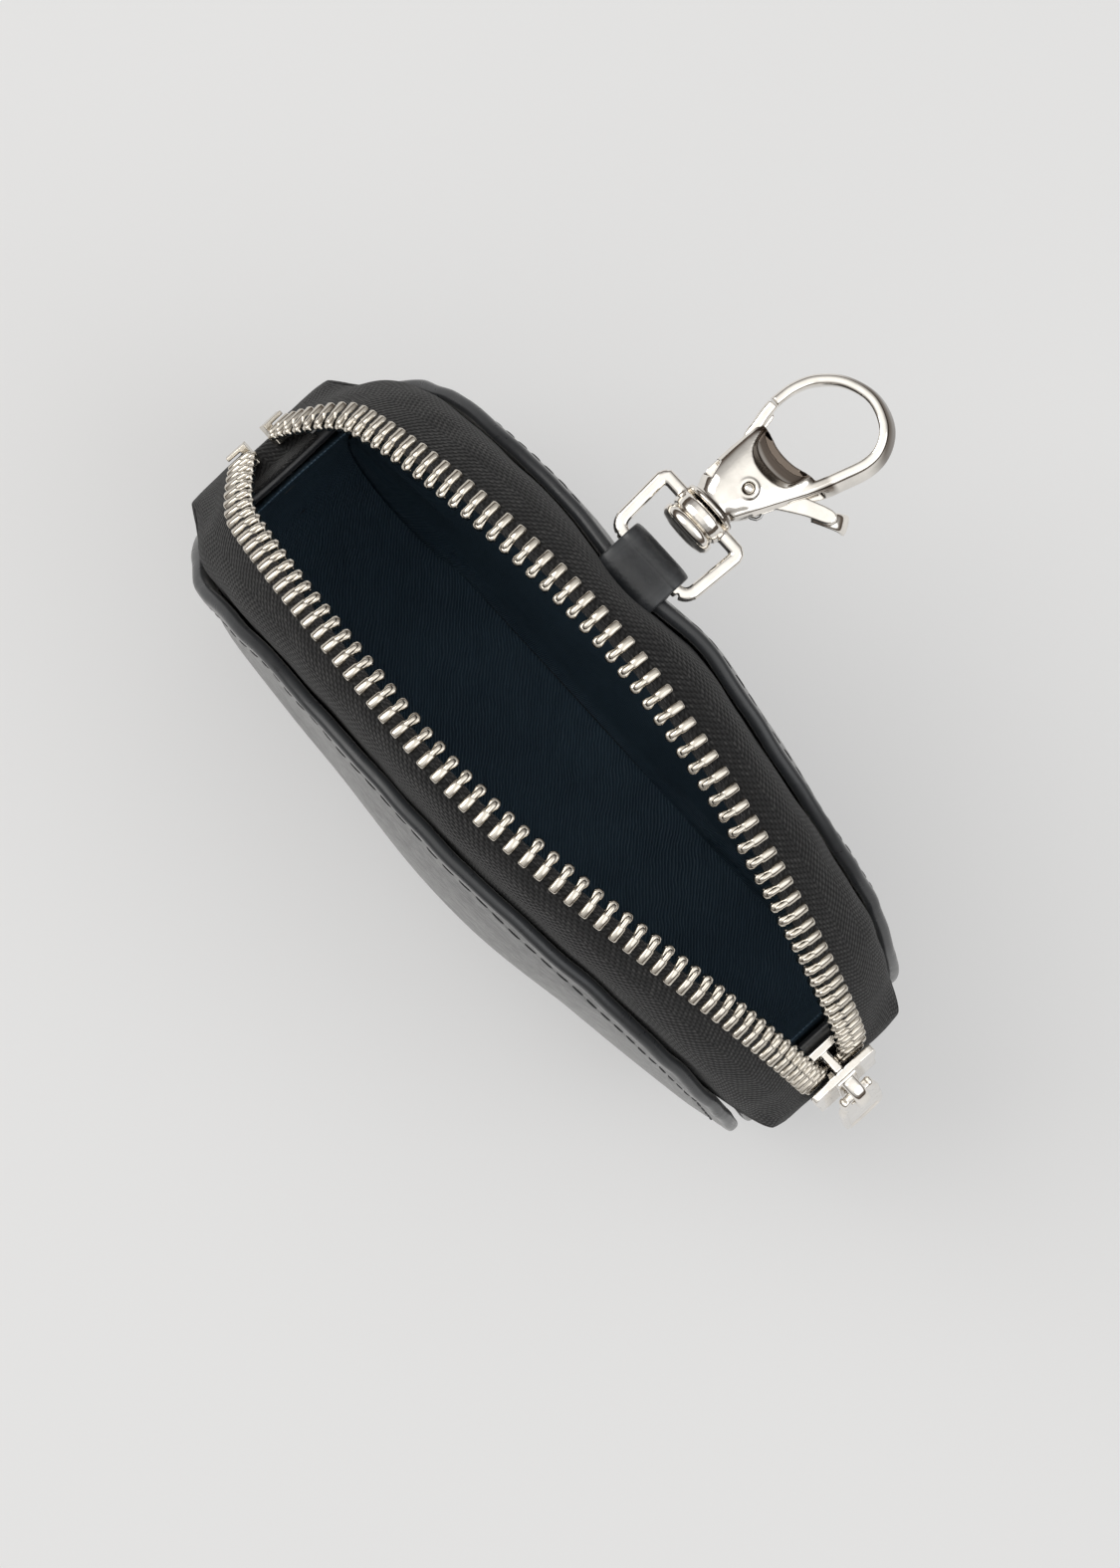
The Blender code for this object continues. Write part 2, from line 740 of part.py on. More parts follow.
def hook_body(collection, cutters, mat):
    """Collar, slotted body and open ring, with a bore for the shank and one for the pin."""
    outline = [(x * MM, y * MM) for x, y in HOOK_OUTLINE]
    place = Matrix.Translation((0.0, 0.0, HOOK_Z))
    body = plate("hook_body", outline, RING_HALF_T, place, collection, mat)
    cheek_outline = rounded([(x * MM, y * MM) for x, y in CHEEK_OUTLINE], 0.8 * MM)
    cheeks = plate("hook_cheeks", cheek_outline, BODY_HALF_T, place, cutters, mat)
    collar_start = (HOOK_X, FAR_BAR_Y + 1.25 * MM, HOOK_Z)
    collar_end = (HOOK_X, 34.2 * MM, HOOK_Z)
    collar = cylinder("hook_collar", collar_start, collar_end, 2.9 * MM, cutters, mat)
    slot_back = 34.5 * MM
    slot_front = 42.4 * MM
    slot_size = (30.0 * MM, slot_front - slot_back, 2.0 * SLOT_HALF_T)
    slot_place = Matrix.Translation((HOOK_X, (slot_back + slot_front) / 2.0, HOOK_Z))
    slot = box("hook_slot", slot_size, slot_place, cutters, mat)
    bore_start = (HOOK_X, FAR_BAR_Y, HOOK_Z)
    bore_end = (HOOK_X, FAR_BAR_Y + 4.1 * MM, HOOK_Z)
    bore = cylinder("shank_bore", bore_start, bore_end, SHANK_R + 0.1 * MM, cutters, mat)
    pin_bore = pin_cylinder("pin_bore", PIN_R + 0.08 * MM, 6.0 * MM, cutters, mat)
    combine(body, cheeks, "UNION")
    combine(body, collar, "UNION")
    combine(body, slot, "DIFFERENCE")
    combine(body, bore, "DIFFERENCE")
    combine(body, pin_bore, "DIFFERENCE")
    return body


def pin_cylinder(name, radius, half_height, collection, mat):
    x, y = PIN_XY
    start = (x, y, HOOK_Z - half_height)
    end = (x, y, HOOK_Z + half_height)
    return cylinder(name, start, end, radius, collection, mat)


def trigger(collection, cutters, mat):
    """The lever: gate leaf to the left, thumb lever to the right, pivot barrel between."""
    corners = [
        (-12.2, 41.2),
        (-12.4, 44.1),
        (-10.95, 44.9),
        (-10.5, 41.9),
        (-8.6, 39.3),
        (-6.4, 38.9),
        (-2.2, 40.6),
        (2.2, 42.6),
        (3.6, 42.4),
        (3.4, 40.8),
        (0.2, 39.4),
        (-4.6, 36.2),
        (-6.2, 34.9),
        (-8.0, 35.1),
        (-9.0, 36.6),
        (-10.4, 39.0),
    ]
    outline = rounded([(x * MM, y * MM) for x, y in corners], 0.5 * MM, 2)
    place = Matrix.Translation((0.0, 0.0, HOOK_Z))
    lever = plate("trigger", outline, TRIGGER_T / 2.0, place, collection, mat)
    pad_start = (2.5 * MM, 41.7 * MM, HOOK_Z - 2.6 * MM)
    pad_end = (2.5 * MM, 41.7 * MM, HOOK_Z + 0.5 * MM)
    pad = cylinder("thumb_pad", pad_start, pad_end, 0.9 * MM, cutters, mat)
    hole = pin_cylinder("trigger_hole", PIN_R + 0.12 * MM, 6.0 * MM, cutters, mat)
    combine(lever, pad, "UNION")
    combine(lever, hole, "DIFFERENCE")
    return lever


def trigger_spring(collection, mat):
    """A bent wire in the slot, from the slot's floor to the back of the thumb lever."""
    points = [(-5.2, 34.85), (-4.3, 34.92), (-3.75, 35.3), (-3.6, 35.8), (-3.75, 36.2)]
    path = [Vector((x * MM, y * MM, HOOK_Z)) for x, y in points]
    return wire("trigger_spring", path, 0.22 * MM, collection, mat)


def build():
    clear_scene()
    purse = new_collection("coin_purse")
    cutters = new_collection("cutters")
    cutters.hide_render = True
    hard = {
        "nickel": material("nickel", NICKEL, 1.0, 0.2),
        "steel": material("steel", STEEL, 1.0, 0.3),
    }

    def leather(name):
        return material(name + "_leather", LEATHER, 0.0, 0.5)

    def fabric(name, color):
        return material(name + "_fabric", color, 0.0, 0.85)

    def metal(name):
        mat = hard["nickel"].copy()
        mat.name = name + "_nickel"
        return mat

    bottom_gusset(purse, leather("bottom_gusset"))
    side_gusset("left_gusset", -1.0, purse, leather("left_gusset"))
    side_gusset("right_gusset", 1.0, purse, leather("right_gusset"))
    base_lining(purse, fabric("base_lining", LINING))
    bottom_stop(purse, cutters, metal("bottom_stop"))
    for label, side in (("front", -1.0), ("back", 1.0)):
        panel(label + "_panel", side, purse, leather(label + "_panel"))
        lining(label + "_lining", side, purse, fabric(label + "_lining", LINING))
        tape(label + "_tape", side, purse, fabric(label + "_tape", TAPE))
        teeth(label + "_teeth", side, purse, cutters, metal(label + "_teeth"))
        top_stop(label + "_top_stop", side, purse, cutters, metal(label + "_top_stop"))
    slider_body(purse, cutters, metal("slider_body"))
    pull_tab(purse, cutters, metal("pull_tab"))
    loop_strap(purse, cutters, leather("loop_strap"))
    swivel_eye(purse, cutters, metal("swivel_eye"))
    swivel_rivet(purse, cutters, metal("swivel_rivet"))
    hook_body(purse, cutters, metal("hook_body"))
    trigger(purse, cutters, metal("trigger"))
    pin_cylinder("trigger_pin", PIN_R, BODY_HALF_T, purse, metal("trigger_pin"))
    trigger_spring(purse, hard["steel"])


build()
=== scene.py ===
import json
import math

import bmesh
import bpy
import numpy as np
from mathutils import Matrix, Vector, noise


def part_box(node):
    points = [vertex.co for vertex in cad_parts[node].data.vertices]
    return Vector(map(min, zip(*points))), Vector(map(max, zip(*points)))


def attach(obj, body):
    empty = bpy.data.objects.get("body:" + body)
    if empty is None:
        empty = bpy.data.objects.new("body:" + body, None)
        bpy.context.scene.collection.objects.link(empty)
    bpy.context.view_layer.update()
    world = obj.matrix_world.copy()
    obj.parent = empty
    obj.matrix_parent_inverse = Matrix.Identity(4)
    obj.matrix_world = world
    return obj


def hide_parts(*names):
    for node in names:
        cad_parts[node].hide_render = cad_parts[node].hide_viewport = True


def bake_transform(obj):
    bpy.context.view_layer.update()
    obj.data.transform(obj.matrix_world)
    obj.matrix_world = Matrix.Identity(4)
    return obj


# Looks of a half-moon coin purse: soft shells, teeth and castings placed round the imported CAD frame.

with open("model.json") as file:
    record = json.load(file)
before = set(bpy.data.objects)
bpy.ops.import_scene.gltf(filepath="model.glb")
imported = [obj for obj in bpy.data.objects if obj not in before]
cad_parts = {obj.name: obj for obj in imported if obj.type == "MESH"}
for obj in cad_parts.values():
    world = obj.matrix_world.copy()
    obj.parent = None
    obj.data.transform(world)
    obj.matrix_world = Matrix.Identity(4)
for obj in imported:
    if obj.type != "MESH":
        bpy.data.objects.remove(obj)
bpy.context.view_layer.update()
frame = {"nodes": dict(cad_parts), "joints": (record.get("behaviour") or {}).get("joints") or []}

MM = 0.001
JOINT = {joint["name"]: joint for joint in frame["joints"]}

# ------------------------------------------------------------ numbers of the frame

ZIP_Z = JOINT["slider_travel"]["pos_m"][2]
ZIP_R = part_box("front_teeth")[1].z - ZIP_Z - 1.0 * MM
HALF_LENGTH = 51.5 * MM
HALF_DEPTH = JOINT["back_close"]["pos_m"][1]
ARCH_Z = 31.0 * MM
CORNER_R = 22.0 * MM
PANEL_T = 1.8 * MM
BELLY = 4.5 * MM
TOP_TAPER = 3.5 * MM
CLOSE_SLOPE = 0.1219
RIGHT_FAR_X = 90.0 * MM
SPLIT_X = -14.0 * MM
LEFT_FADE = (-41.0 * MM, -22.0 * MM)
LEFT_FADE_AXIS = (0.95, 0.316)
ROW_CLOSED = 1.35 * MM
TOOTH_PITCH = 2.3 * MM
SLIDER_DEG = 77.0
SEAM_INSET = 3.2 * MM
STITCH_PITCH = 2.75 * MM
STITCH_R = 0.17 * MM
TAPE_T = 0.55 * MM
TAPE_INSET = 1.6 * MM
TAPE_ENDS = (-84.0, 88.0)
TEETH_ENDS = (-76.0, 74.5)
LINING_T = 0.28 * MM
LINING_INSET = 2.6 * MM
LINING_GAP = 1.9 * MM
SLIDER_ROOM = 4.2 * MM
GUSSET_HALF = 11.65 * MM
GUSSET_R = ZIP_R - 3.9 * MM
LINING_HALF = 10.6 * MM
FLOOR_GLOW = 0.31
HOOK_X, FAR_BAR_Y, HOOK_Z = JOINT["hook_swivel"]["pos_m"]
NEAR_BAR_Y = JOINT["eye_swing"]["pos_m"][1]
PIN_X, PIN_Y = JOINT["gate_open"]["pos_m"][:2]
SCOOP_X, SCOOP_Y = -6.6 * MM, 48.0 * MM


def smooth(t):
    t = np.clip(t, 0.0, 1.0)
    return t * t * (3.0 - 2.0 * t)


def fade(x, z):
    """Share of the full closing turn at a point: one left of the crown, falling toward both ends."""
    right = smooth((RIGHT_FAR_X - x) / (RIGHT_FAR_X - SPLIT_X))
    along = LEFT_FADE_AXIS[0] * x + LEFT_FADE_AXIS[1] * z
    return right * smooth((along - LEFT_FADE[0]) / (LEFT_FADE[1] - LEFT_FADE[0]))


def zip_point(deg, radius):
    angle = np.radians(deg)
    return radius * np.sin(angle), ZIP_Z + radius * np.cos(angle)


def row_half(deg, side):
    """Distance of a tooth row from the centre plane; the front one hangs in a little at the left."""
    x, z = zip_point(deg, ZIP_R)
    drawn_in = 0.0
    if side < 0.0:
        drawn_in = 0.6 * MM * smooth((deg + 76.0) / 20.0) * smooth((5.0 - deg) / 35.0)
    return ROW_CLOSED + fade(x, z) * CLOSE_SLOPE * z * smooth((80.0 - deg) / 10.0) - drawn_in


def bottom_z(x, inset=0.0):
    beyond = np.maximum(np.abs(x) - (HALF_LENGTH - CORNER_R), 0.0)
    radius = CORNER_R - inset
    return CORNER_R - np.sqrt(np.maximum(radius * radius - beyond * beyond, 0.0))


def top_z(x):
    return ARCH_Z + np.sqrt(np.maximum(HALF_LENGTH**2 - x * x, 0.0))


def leather_edge_radius(deg):
    angle = np.radians(deg)
    shift = ZIP_Z - ARCH_Z
    across = shift * np.sin(angle)
    return np.sqrt(HALF_LENGTH**2 - across * across) - shift * np.cos(angle)


def settled(x, z, bulge, share, side):
    """How far a soft side has settled: the back flares out, the front hangs in at the left."""
    high = smooth((z - 38.0 * MM) / (24.0 * MM))
    if side > 0.0:
        beside_loop = 1.0 - 0.8 * np.exp(-(((x - HOOK_X) / (7.0 * MM)) ** 2))
        shoulder = 0.35 * np.exp(-(((x - 5.0 * MM) / (6.0 * MM)) ** 2))
        return 1.6 * MM * high * (beside_loop + shoulder) * smooth((51.0 * MM - np.abs(x)) / (14.0 * MM))
    if side < 0.0:
        left = smooth((12.0 * MM - x) / (40.0 * MM))
        rim_part = 1.1 * MM * high * smooth((x + 51.0 * MM) / (8.0 * MM))
        belly_part = 1.3 * MM * bulge * np.sin(np.pi * share)
        return -left * (rim_part + belly_part)
    return 0.0 * x


def wall_y(x, z, side=0.0):
    """Distance of a panel's middle surface from the centre plane."""
    low, high = bottom_z(x), top_z(x)
    share = np.clip((z - low) / np.maximum(high - low, MM), 0.0, 1.0)
    bulge = np.maximum(1.0 - (x / HALF_LENGTH) ** 2, 0.0)
    closed = HALF_DEPTH - TOP_TAPER * bulge * share * share
    closed = closed + BELLY * bulge * np.sin(np.pi * share) + settled(x, z, bulge, share, side)
    return closed + fade(x, z) * CLOSE_SLOPE * z


def wave(points, scale, seed):
    """Smooth noise, one value a point, for wrinkles and puckers."""
    shift = Vector((seed * 7.31, seed * 3.17, seed * 1.73))
    return np.array([noise.noise(Vector(p) / scale + shift) for p in points])


# ------------------------------------------------------------ mesh builders


def grid_faces(rows, columns, wrap=False):
    faces = []
    for i in range(rows - 1):
        for j in range(columns if wrap else columns - 1):
            k = (j + 1) % columns
            faces.append((i * columns + j, i * columns + k, (i + 1) * columns + k, (i + 1) * columns + j))
    return faces


def capped_tube(count, sides):
    """Faces of a tube of rings, closed at both ends."""
    faces = grid_faces(count, sides, wrap=True)
    faces.append(tuple(reversed(range(sides))))
    faces.append(tuple((count - 1) * sides + k for k in range(sides)))
    return faces


def plain(points, faces):
    """A part whose material reads no flow."""
    return np.array(points), faces, np.zeros((len(points), 3))


def unit_rows(vectors):
    return vectors / np.linalg.norm(vectors, axis=-1, keepdims=True)


def arc_length(path):
    return np.concatenate([[0.0], np.cumsum(np.linalg.norm(np.diff(path, axis=0), axis=1))])


def points_at(at, length, path):
    return np.stack([np.interp(at, length, path[:, k]) for k in range(path.shape[1])], 1)


def superellipse(turn, power):
    """A ring between a circle (power 1) and a rectangle (power 0)."""
    a = np.sign(np.cos(turn)) * np.abs(np.cos(turn)) ** power
    b = np.sign(np.sin(turn)) * np.abs(np.sin(turn)) ** power
    return a, b


def left_of(ahead):
    """The normal to the left of each direction in the XZ plane."""
    return np.stack([-ahead[:, 1], ahead[:, 0]], 1)


def piece(name, points, faces, mat, flow=None):
    """A smooth mesh object; flow holds what the material reads: along, across and edge distance, in mm."""
    mesh = bpy.data.meshes.new(name)
    mesh.from_pydata(np.asarray(points, float).reshape(-1, 3).tolist(), [], faces)
    if flow is not None:
        store = mesh.attributes.new("flow", "FLOAT_VECTOR", "POINT")
        store.data.foreach_set("vector", np.asarray(flow, np.float32).ravel())
    mesh.shade_smooth()
    obj = bpy.data.objects.new(name, mesh)
    bpy.context.scene.collection.objects.link(obj)
    mesh.materials.append(mat)
    return obj


def stand_for(obj, node, body=None):
    """Puts a piece in a CAD node's place: hides the node, and attaches the piece to a body if one is named.
    """
    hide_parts(node)
    if body:
        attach(obj, body)
    return obj


def tidy_mesh(obj, weld=1e-6):
    bm = bmesh.new()
    bm.from_mesh(obj.data)
    bmesh.ops.remove_doubles(bm, verts=bm.verts, dist=weld)
    bmesh.ops.recalc_face_normals(bm, faces=bm.faces)
    bm.to_mesh(obj.data)
    bm.free()
    return obj


def normals_of(grid):
    """Unit normals of a grid of points, from its neighbours."""
    along = np.gradient(grid, axis=0)
    across = np.gradient(grid, axis=1)
    normal = np.cross(along, across)
    length = np.linalg.norm(normal, axis=2, keepdims=True)
    return normal / np.maximum(length, 1e-12)


def shell(name, grid, half, mat, flow):
    """A closed shell over a grid of mid points; half is each point's half thickness, zero at the rim."""
    rows, columns = grid.shape[:2]
    normal = normals_of(grid)
    points = np.concatenate([grid + normal * half[..., None], grid - normal * half[..., None]])
    faces = grid_faces(rows, columns)
    count = rows * columns
    under = [tuple(count + i for i in reversed(face)) for face in faces]
    whole = np.concatenate([flow, flow])
    obj = piece(name, points, faces + under, mat, whole)
    return tidy_mesh(obj)


def rim(distance, radius, power=2.4):
    """Half thickness share at a distance from a rounded edge."""
    t = np.clip(1.0 - distance / radius, 0.0, 1.0)
    return (1.0 - t**power) ** (1.0 / power)


def cut_at(obj, keep_right):
    """Keeps one side of the crown plane and caps the cut, with a hard edge so that no seam shows."""
    bm = bmesh.new()
    bm.from_mesh(obj.data)
    made = bmesh.ops.bisect_plane(
        bm,
        geom=bm.verts[:] + bm.edges[:] + bm.faces[:],
        plane_co=(SPLIT_X, 0.0, 0.0),
        plane_no=(1.0, 0.0, 0.0),
        clear_inner=keep_right,
        clear_outer=not keep_right,
    )
    edges = [item for item in made["geom_cut"] if isinstance(item, bmesh.types.BMEdge)]
    if edges:
        bmesh.ops.edgeloop_fill(bm, edges=edges)
        for edge in edges:
            edge.smooth = False
    bm.to_mesh(obj.data)
    bm.free()


def close_with(obj):
    """Bakes a piece's placement into its mesh."""
    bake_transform(obj)


def split_and_close(obj, node):
    """Two halves of a side's piece, cut at the split plane and capped; both stand for the CAD node."""
    other = obj.copy()
    other.data = obj.data.copy()
    bpy.context.scene.collection.objects.link(other)
    other.name = obj.name + "_left"
    obj.name = obj.name + "_right"
    for part, right in ((obj, True), (other, False)):
        cut_at(part, right)
        close_with(part)
        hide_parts(node)


# ------------------------------------------------------------ materials


class Nodes:
    """Short-hand for one material's node tree."""

    def __init__(self, name):
        self.mat = bpy.data.materials.new(name)
        self.mat.use_nodes = True
        self.tree = self.mat.node_tree
        self.shader = self.tree.nodes["Principled BSDF"]

    def feed(self, socket, value):
        if isinstance(value, bpy.types.NodeSocket):
            self.tree.links.new(value, socket)
        else:
            socket.default_value = value

    def add(self, kind, inputs=None, **settings):
        node = self.tree.nodes.new("ShaderNode" + kind)
        for key, value in settings.items():
            setattr(node, key, value)
        for key, value in (inputs or {}).items():
            self.feed(node.inputs[key], value)
        return node

    def math(self, operation, first, second=0.0):
        node = self.add("Math", {0: first, 1: second}, operation=operation)
        return node.outputs[0]

    def times(self, first, second):
        return self.math("MULTIPLY", first, second)

    def plus(self, first, second):
        return self.math("ADD", first, second)

    def wave(self, value):
        return self.math("SINE", value)

    def span(self, value, low, high, new_low=0.0, new_high=1.0, kind="LINEAR"):
        inputs = {"Value": value, "From Min": low, "From Max": high}
        inputs.update({"To Min": new_low, "To Max": new_high})
        node = self.add("MapRange", inputs, interpolation_type=kind)
        return node.outputs["Result"]

    def mix(self, factor, first, second):
        node = self.add("Mix", data_type="RGBA")
        self.feed(node.inputs[0], factor)
        self.feed(node.inputs[6], first)
        self.feed(node.inputs[7], second)
        return node.outputs[2]

    def place(self, scale=(1.0, 1.0, 1.0), turn=(0.0, 0.0, 0.0)):
        """Object coordinates in millimetres."""
        where = self.add("TexCoord").outputs["Object"]
        size = tuple(1000.0 * value for value in scale)
        node = self.add("Mapping", {"Vector": where, "Rotation": turn, "Scale": size})
        return node.outputs["Vector"]

    def flow(self):
        node = self.add("Attribute", attribute_name="flow")
        parts = self.add("SeparateXYZ", {"Vector": node.outputs["Vector"]})
        return node.outputs["Vector"], parts.outputs

    def noise(self, vector, scale, detail=3.0, roughness=0.5):
        inputs = {"Vector": vector, "Scale": scale, "Detail": detail, "Roughness": roughness}
        return self.add("TexNoise", inputs).outputs["Fac"]

    def cells(self, vector, scale, feature="F1", randomness=1.0):
        inputs = {"Vector": vector, "Scale": scale, "Randomness": randomness}
        return self.add("TexVoronoi", inputs, feature=feature).outputs["Distance"]

    def bump(self, height, distance, strength=1.0, normal=None):
        inputs = {"Height": height, "Distance": distance, "Strength": strength}
        if normal is not None:
            inputs["Normal"] = normal
        return self.add("Bump", inputs).outputs["Normal"]

    def set(self, **values):
        for key, value in values.items():
            self.feed(self.shader.inputs[key.replace("_", " ")], value)
        return self.mat


def grey(value):
    return (value, value, value, 1.0)


def leather_material(name):
    """Fine-grained black leather; near a cut edge the grain gives way to smooth edge paint."""
    n = Nodes(name)
    here = n.place()
    grain = n.cells(here, 1.75, "SMOOTH_F1")
    pores = n.noise(here, 5.5, 4.0, 0.6)
    cloud = n.noise(here, 0.09, 3.0)
    colour = n.mix(n.span(cloud, 0.35, 0.65), (0.0130, 0.0145, 0.0168, 1.0), (0.022, 0.0240, 0.0268, 1.0))
    colour = n.mix(n.span(grain, 0.15, 0.6, 0.0, 0.45), colour, (0.012, 0.0125, 0.014, 1.0))
    rough = n.span(n.noise(here, 0.7, 4.0), 0.3, 0.7, 0.33, 0.46)
    height = n.plus(n.times(grain, -0.7), n.times(pores, 0.35))
    edge = n.flow()[1]["Z"]
    wobble = n.plus(edge, n.span(n.noise(here, 1.1), 0.3, 0.7, -0.12, 0.12))
    inner = n.span(wobble, 0.85, 1.35, kind="SMOOTHSTEP")
    # A lighter band just inside the edge paint: partly edge wear, partly a painted highlight along the ridge
    # where the edge meets the face.
    wear_and_highlight = n.times(n.span(wobble, 1.0, 1.35), n.span(wobble, 2.4, 1.35))
    colour = n.mix(inner, (0.030, 0.032, 0.035, 1.0), colour)
    colour = n.mix(n.times(wear_and_highlight, 0.35), colour, (0.055, 0.057, 0.062, 1.0))
    rough = n.plus(rough, n.span(inner, 0.0, 1.0, -0.08, 0.0))
    strength = n.span(inner, 0.0, 1.0, 0.12, 0.55)
    n.set(Base_Color=colour, Roughness=rough, Specular_IOR_Level=0.55)
    n.set(Sheen_Weight=0.22, Sheen_Roughness=0.35, Sheen_Tint=(1.0, 0.99, 0.97, 1.0))
    return n.set(Normal=n.bump(height, 0.09 * MM, strength))


def tape_material():
    """Charcoal zip tape: herringbone columns of short slanted stitches in mixed light and dark yarns."""
    n = Nodes("zip_tape_weave")
    vector, (along, across, _) = n.flow()
    column = 2.7
    warp = n.span(n.noise(vector, 0.5, 2.0), 0.3, 0.7, -0.12, 0.12)
    zig = n.math("PINGPONG", n.plus(across, 0.9), column)
    rib_place = n.plus(n.plus(along, warp), n.times(zig, 0.95))
    rib_count = n.math("DIVIDE", rib_place, 0.86)
    rib_step = n.times(n.math("FLOOR", rib_count), 0.5)
    yarn_count = n.plus(n.math("DIVIDE", across, 0.46), rib_step)
    rib = n.wave(n.times(rib_count, 2.0 * math.pi))
    yarn = n.wave(n.times(yarn_count, 2.0 * math.pi))
    cell = {"X": n.math("FLOOR", rib_count), "Y": n.math("FLOOR", yarn_count)}
    stitch = n.add("CombineXYZ", cell).outputs[0]
    shade = n.add("TexWhiteNoise", {"Vector": stitch}, noise_dimensions="2D").outputs["Value"]
    weave = n.plus(n.times(rib, 0.55), n.times(yarn, 0.45))
    cloud = n.noise(vector, 0.4, 3.0)
    dark = n.mix(n.span(cloud, 0.35, 0.65), (0.0036, 0.0036, 0.0040, 1.0), (0.0070, 0.0070, 0.0074, 1.0))
    mid = n.mix(n.span(weave, -0.5, 0.8), dark, (0.0150, 0.0150, 0.0156, 1.0))
    bright = n.times(n.span(weave, 0.0, 0.9), n.span(shade, 0.45, 1.0))
    colour = n.mix(n.times(bright, 0.8), mid, (0.060, 0.059, 0.058, 1.0))
    height = n.plus(weave, n.times(n.noise(vector, 3.5), 0.5))
    n.set(Base_Color=colour, Roughness=n.span(weave, -0.7, 0.7, 0.95, 0.75))
    n.set(Sheen_Weight=0.12, Sheen_Roughness=0.6, Specular_IOR_Level=0.2)
    return n.set(Normal=n.bump(height, 0.085 * MM, 0.8))


def lining_material():
    """Near-black navy lining with fine slanted ribs that catch the light in patches."""
    n = Nodes("ribbed_lining")
    here = n.place()
    _, (along, across, _) = n.flow()
    slant = n.plus(n.times(along, 0.72), n.times(across, 0.70))
    drift = n.span(n.noise(here, 0.16), 0.3, 0.7, -0.3, 0.3)
    ribs = n.wave(n.times(n.plus(slant, drift), 2.0 * math.pi / 0.42))
    cross = n.wave(n.times(n.math("SUBTRACT", along, across), 2.0 * math.pi / 0.2))
    cloud = n.noise(here, 0.12, 3.0)
    colour = n.mix(n.span(cloud, 0.35, 0.65), (0.022, 0.049, 0.078, 1.0), (0.032, 0.067, 0.102, 1.0))
    colour = n.mix(n.span(ribs, -0.2, 1.0, 0.0, 0.6), colour, (0.105, 0.160, 0.205, 1.0))
    height = n.plus(ribs, n.times(cross, 0.2))
    n.set(Base_Color=colour, Roughness=n.span(ribs, -1.0, 1.0, 0.62, 0.42))
    n.set(Sheen_Weight=0.15, Sheen_Tint=(0.45, 0.62, 0.8, 1.0), Specular_IOR_Level=0.35)
    return n.set(Normal=n.bump(height, 0.06 * MM, 0.8))


# Painted reflection: the dark brown painted on the hook's far walls, standing in for the dark room they
# mirror.
PAINTED_REFLECTION_BROWN = (0.10, 0.075, 0.055, 1.0)


def paint_dark_reflection(n, colour, painted_wall_reflection):
    """Paints dark brown into the colour of the hook's far wall and its scoop: a painted reflection of the
    dark room below the horizon, which they mirror.
    """
    coords = n.add("TexCoord").outputs
    # Painted reflection: surfaces that face the ring's far side are painted dark brown by this share.
    facing = n.add("VectorMath", {0: coords["Normal"], 1: (0.45, 0.89, 0.0)}, operation="DOT_PRODUCT")
    side = n.span(facing.outputs["Value"], 0.25, 0.65, 0.0, painted_wall_reflection, "SMOOTHSTEP")
    colour = n.mix(side, colour, PAINTED_REFLECTION_BROWN)
    # Painted shade and reflection: the inside of the scoop above the gate is painted dark brown.
    centre = (SCOOP_X, SCOOP_Y, HOOK_Z)
    apart = n.add("VectorMath", {0: coords["Object"], 1: centre}, operation="SUBTRACT")
    parts = n.add("SeparateXYZ", {0: apart.outputs[0]}).outputs
    level = n.add("CombineXYZ", {0: parts[0], 1: parts[1]}).outputs[0]
    reach = n.add("VectorMath", {0: level}, operation="LENGTH").outputs["Value"]
    inside = n.span(reach, 7.2 * MM, 8.0 * MM, 0.92, 0.0)
    inside = n.times(inside, n.span(parts[1], -3.6 * MM, -3.0 * MM, 1.0, 0.0))
    inside = n.times(inside, n.span(parts[2], 1.45 * MM, 1.75 * MM, 1.0, 0.0))
    return n.mix(inside, colour, (0.105, 0.075, 0.055, 1.0))


def metal_material(name, tint, rough, wear=0.5, painted_wall_reflection=0.0):
    """Nickel plate: polishing lines, colour drift, tarnish spots; the last argument sets how strongly a dark
    reflection is painted on the hook's far walls and scoop.
    """
    n = Nodes(name)
    here = n.place()
    streaks = n.noise(n.place((0.35, 2.6, 2.6), (0.4, 0.2, 0.5)), 3.2, 3.0, 0.6)
    cloud = n.noise(here, 0.55, 3.0)
    spots = n.span(n.noise(here, 2.3, 5.0, 0.65), 0.56, 0.72, 0.0, wear)
    dark = tuple(channel * 0.72 for channel in tint[:3]) + (1.0,)
    colour = n.mix(n.span(cloud, 0.35, 0.7, 0.0, 0.45), tint, dark)
    colour = n.mix(spots, colour, (0.42, 0.36, 0.29, 1.0))
    if painted_wall_reflection:
        colour = paint_dark_reflection(n, colour, painted_wall_reflection)
    roughness = n.span(streaks, 0.3, 0.7, rough * 0.8, rough * 1.25)
    roughness = n.plus(roughness, n.times(spots, 0.12))
    height = n.plus(n.times(streaks, 0.5), n.times(cloud, 0.3))
    n.set(Base_Color=colour, Metallic=1.0, Roughness=roughness)
    return n.set(Normal=n.bump(height, 0.012 * MM, 0.25))


def thread_material():
    """Waxed black sewing thread, with its twist."""
    n = Nodes("waxed_thread")
    _, (along, across, _) = n.flow()
    twist = n.wave(n.plus(n.times(along, 14.0), n.times(across, 6.0)))
    colour = n.mix(n.span(twist, -1.0, 1.0), (0.014, 0.015, 0.017, 1.0), (0.032, 0.034, 0.037, 1.0))
    n.set(Base_Color=colour, Roughness=n.span(twist, -1.0, 1.0, 0.62, 0.42))
    return n.set(Normal=n.bump(twist, 0.04 * MM, 0.8))


def floor_material():
    """Pale studio paper with a trace of tooth."""
    n = Nodes("studio_paper")
    here = n.place()
    colour = n.mix(n.span(n.noise(here, 0.004), 0.3, 0.7), grey(0.465), grey(0.475))
    n.set(Base_Color=colour, Roughness=0.9, Specular_IOR_Level=0.1)
    n.set(Emission_Color=grey(1.0), Emission_Strength=FLOOR_GLOW)
    return n.set(Normal=n.bump(n.noise(here, 1.5), 0.02 * MM, 0.2))


